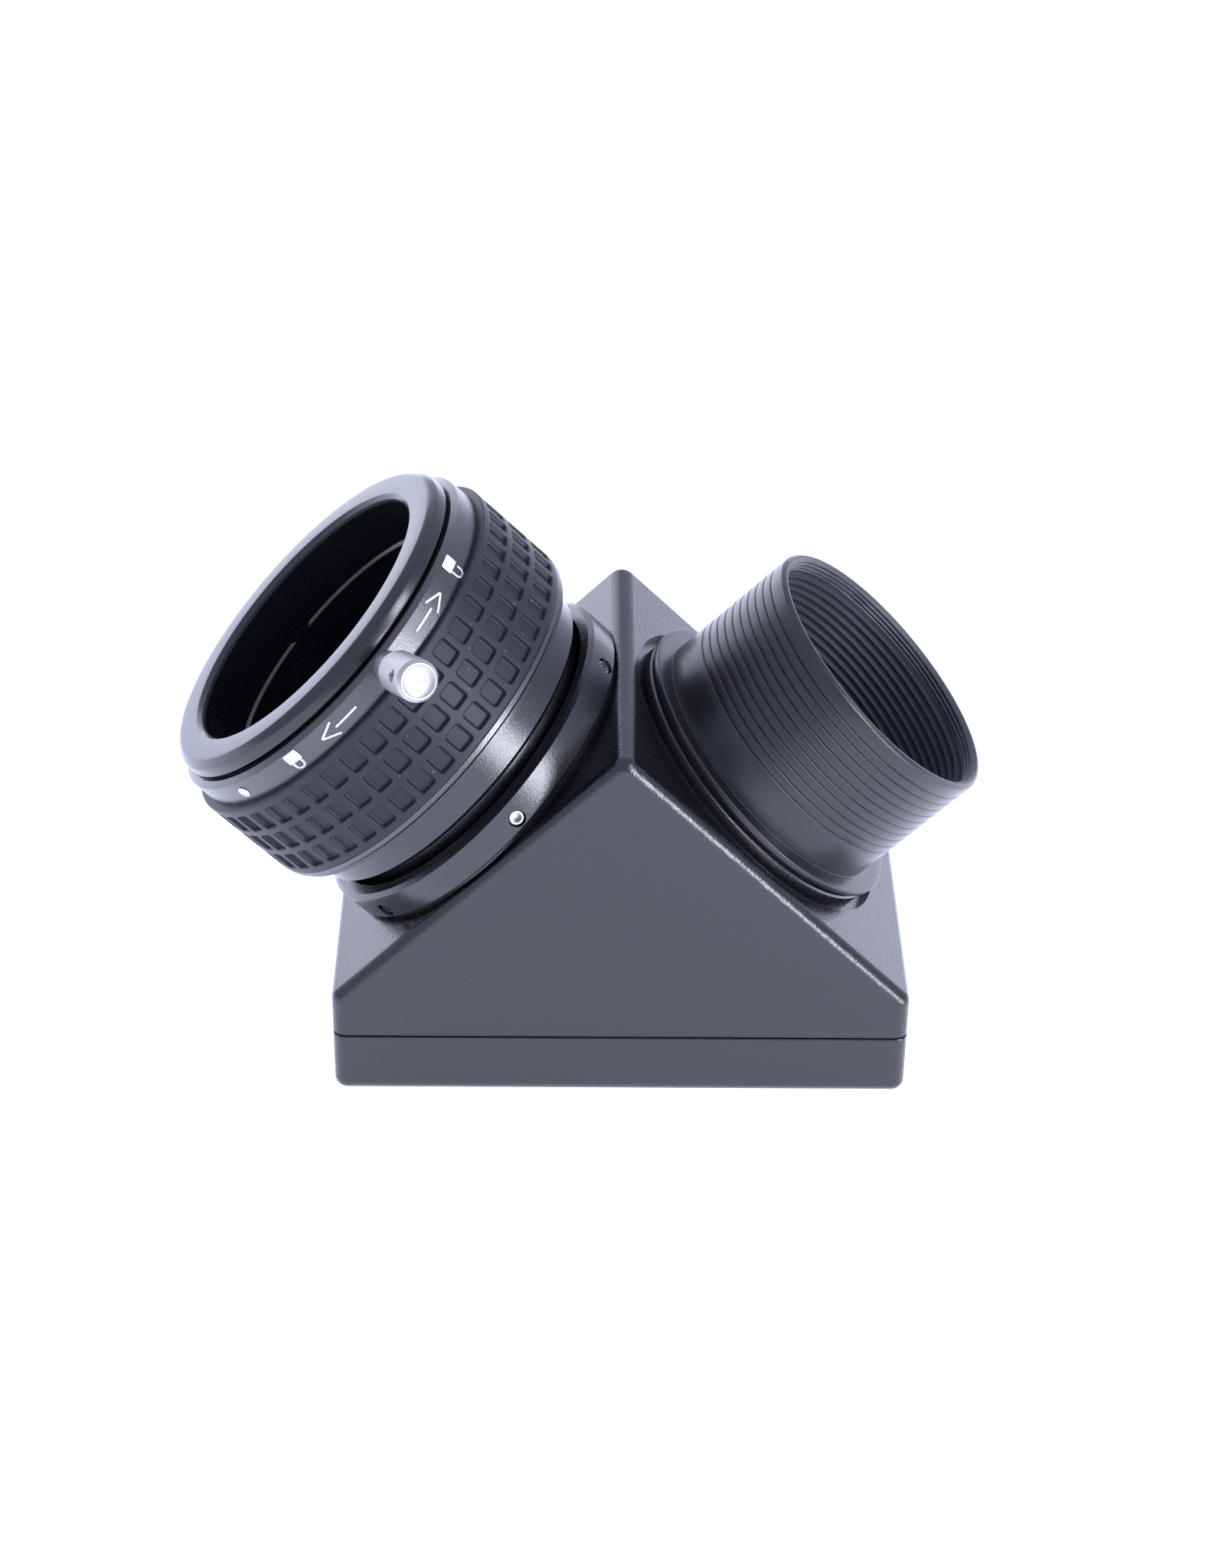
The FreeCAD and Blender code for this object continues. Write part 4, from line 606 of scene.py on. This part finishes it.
def paint_bore(piece, material, side, reach):
    """Gives a turned piece a second material where its faces lie nearer than reach to its port's axis."""
    mesh = piece.data
    mesh.materials.append(material)
    centres = np.empty(len(mesh.polygons) * 3)
    mesh.polygons.foreach_get("center", centres)
    centres = centres.reshape(-1, 3) - np.array([0.0, 0.0, AXIS_HEIGHT * MM])
    along = centres @ port_axis(side)
    off = np.sqrt(np.maximum((centres ** 2).sum(axis=1) - along ** 2, 0.0))
    mesh.polygons.foreach_set("material_index", (off < reach * MM).astype(np.int32))
    mesh.update()


# ---------------------------------------------------------------- pieces

def add_marks(ink):
    """Prints every mark on the lock ring, so that they turn with it."""
    for number, (path, width, blunt) in enumerate(mark_lines(), start=1):
        mark = grid_piece(f"printed_mark_{number}", printed_line(path, width, blunt), wrap_rows=False)
        paint(ink, mark)
        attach(mark, "lock_ring")


leather = leather_coat()
satin = satin_anodised()
gloss = gloss_anodised()
blasted = blasted_anodised()
lathe_cut = lathe_cut_anodised()
bore_paint = matte_bore_paint()
rubber = moulded_rubber()
frosted = blasted_steel()
bright = bright_steel()
silver = mirror_silver()
glass = ground_glass()
plastic = black_plastic()

FINISHES = {
    leather: ("housing", "base_cover"),
    satin: ("mirror_cell", "nosepiece"),
    gloss: ("change_ring", "clamp_body", "cam_ring", "clamp_jaw_1", "clamp_jaw_2", "clamp_jaw_3"),
    blasted: ("lock_ring", "nose_port_ring"),
    lathe_cut: ("front_collar",),
    rubber: ("rubber_grip",),
    frosted: ("lever_knob",),
    bright: ("cover_screws", "cell_screws", "mirror_clips", "clip_screws", "set_screws", "stop_pin",
             "lever_stud", "cam_follower_1", "cam_follower_2", "cam_follower_3"),
    silver: ("mirror_coating",),
    glass: ("mirror_glass",),
    plastic: ("light_seal", "slip_washer", "rear_slip_ring"),
}
for finish, names in FINISHES.items():
    paint(finish, *[NODES[name] for name in names])

grip = rubber_grip()
paint(rubber, grip)
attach(grip, "lock_ring")
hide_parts("rubber_grip")

collar = front_collar()
paint(lathe_cut, collar)
paint_bore(collar, bore_paint, CLAMP_SIDE, CLAMP_BORE + 0.1)
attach(collar, "clamp")
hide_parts("front_collar")

knob = lever_knob()
paint(frosted, knob)
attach(knob, "lock_ring")
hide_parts("lever_knob")

strip = seam_strip()
paint(leather, strip)
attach(strip, "housing")

nose = nosepiece()
paint(satin, nose)
paint_bore(nose, bore_paint, NOSE_SIDE, BORE_PAINT_REACH)
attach(nose, "housing")
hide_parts("nosepiece")

add_marks(printing_ink())


# ---------------------------------------------------------------- studio

def add_light_table():
    """A lit white floor that runs out of sight."""
    reach = TABLE_REACH * MM
    mesh = bpy.data.meshes.new("floor")
    mesh.from_pydata([(-reach, -reach, 0), (reach, -reach, 0), (reach, reach, 0), (-reach, reach, 0)], [],
                     [(0, 1, 2, 3)])
    floor = bpy.data.objects.new("floor", mesh)
    bpy.context.scene.collection.objects.link(floor)
    paint(light_table_acrylic(), floor)


def add_softbox(name, towards, distance, width, height, power):
    """A rectangular soft light that faces the object from a direction, its sizes in metres."""
    light = bpy.data.lights.new(name, "AREA")
    light.shape = "RECTANGLE"
    light.size, light.size_y = width, height
    light.energy = power
    light.color = srgb("#eef3ff")[:3]
    lamp = bpy.data.objects.new(name, light)
    direction = Vector(towards).normalized()
    lamp.location = Vector((0, 0, AIM_HEIGHT * MM)) + direction * distance
    lamp.rotation_euler = direction.to_track_quat("Z", "Y").to_euler()
    bpy.context.scene.collection.objects.link(lamp)


def add_sky():
    """Even, slightly blue white light from all sides."""
    world = bpy.data.worlds.new("studio")
    world.use_nodes = True
    background = world.node_tree.nodes["Background"]
    background.inputs["Color"].default_value = srgb("#dbe1ff")
    background.inputs["Strength"].default_value = 1.4
    bpy.context.scene.world = world


def add_camera():
    """The camera: turned, tipped and rolled by its angles, then shifted off its line to the aim point."""
    yaw, pitch, roll = (math.radians(angle) for angle in (CAMERA_YAW, CAMERA_PITCH, CAMERA_ROLL))
    forward = Vector((math.sin(yaw) * math.cos(pitch), math.cos(yaw) * math.cos(pitch), -math.sin(pitch)))
    level = Vector((math.cos(yaw), -math.sin(yaw), 0))
    above = level.cross(forward)
    right = math.cos(roll) * level + math.sin(roll) * above
    up = math.cos(roll) * above - math.sin(roll) * level
    aim = Vector((0, 0, AIM_HEIGHT))
    place = aim - CAMERA_DISTANCE * forward - CAMERA_SHIFT_RIGHT * right - CAMERA_SHIFT_UP * up
    camera = bpy.data.objects.new("camera", bpy.data.cameras.new("camera"))
    camera.data.sensor_fit = "VERTICAL"
    camera.data.sensor_height = CAMERA_SENSOR
    camera.data.lens = CAMERA_LENS
    turn = Matrix((right, up, -forward)).transposed().to_4x4()
    camera.matrix_world = Matrix.Translation(place * MM) @ turn
    bpy.context.scene.collection.objects.link(camera)
    bpy.context.scene.camera = camera


add_light_table()
add_sky()
add_softbox("right_softbox", (0.71, -0.69, 0.18), 1.0, 0.30, 0.5, 10.0)
add_softbox("high_right_softbox", (0.66, -0.40, 0.63), 1.0, 0.25, 0.25, 4.0)
add_softbox("back_left_softbox", (-0.50, 0.84, 0.22), 1.2, 0.9, 0.7, 3.0)
add_camera()
bpy.context.scene.view_settings.view_transform = "Standard"
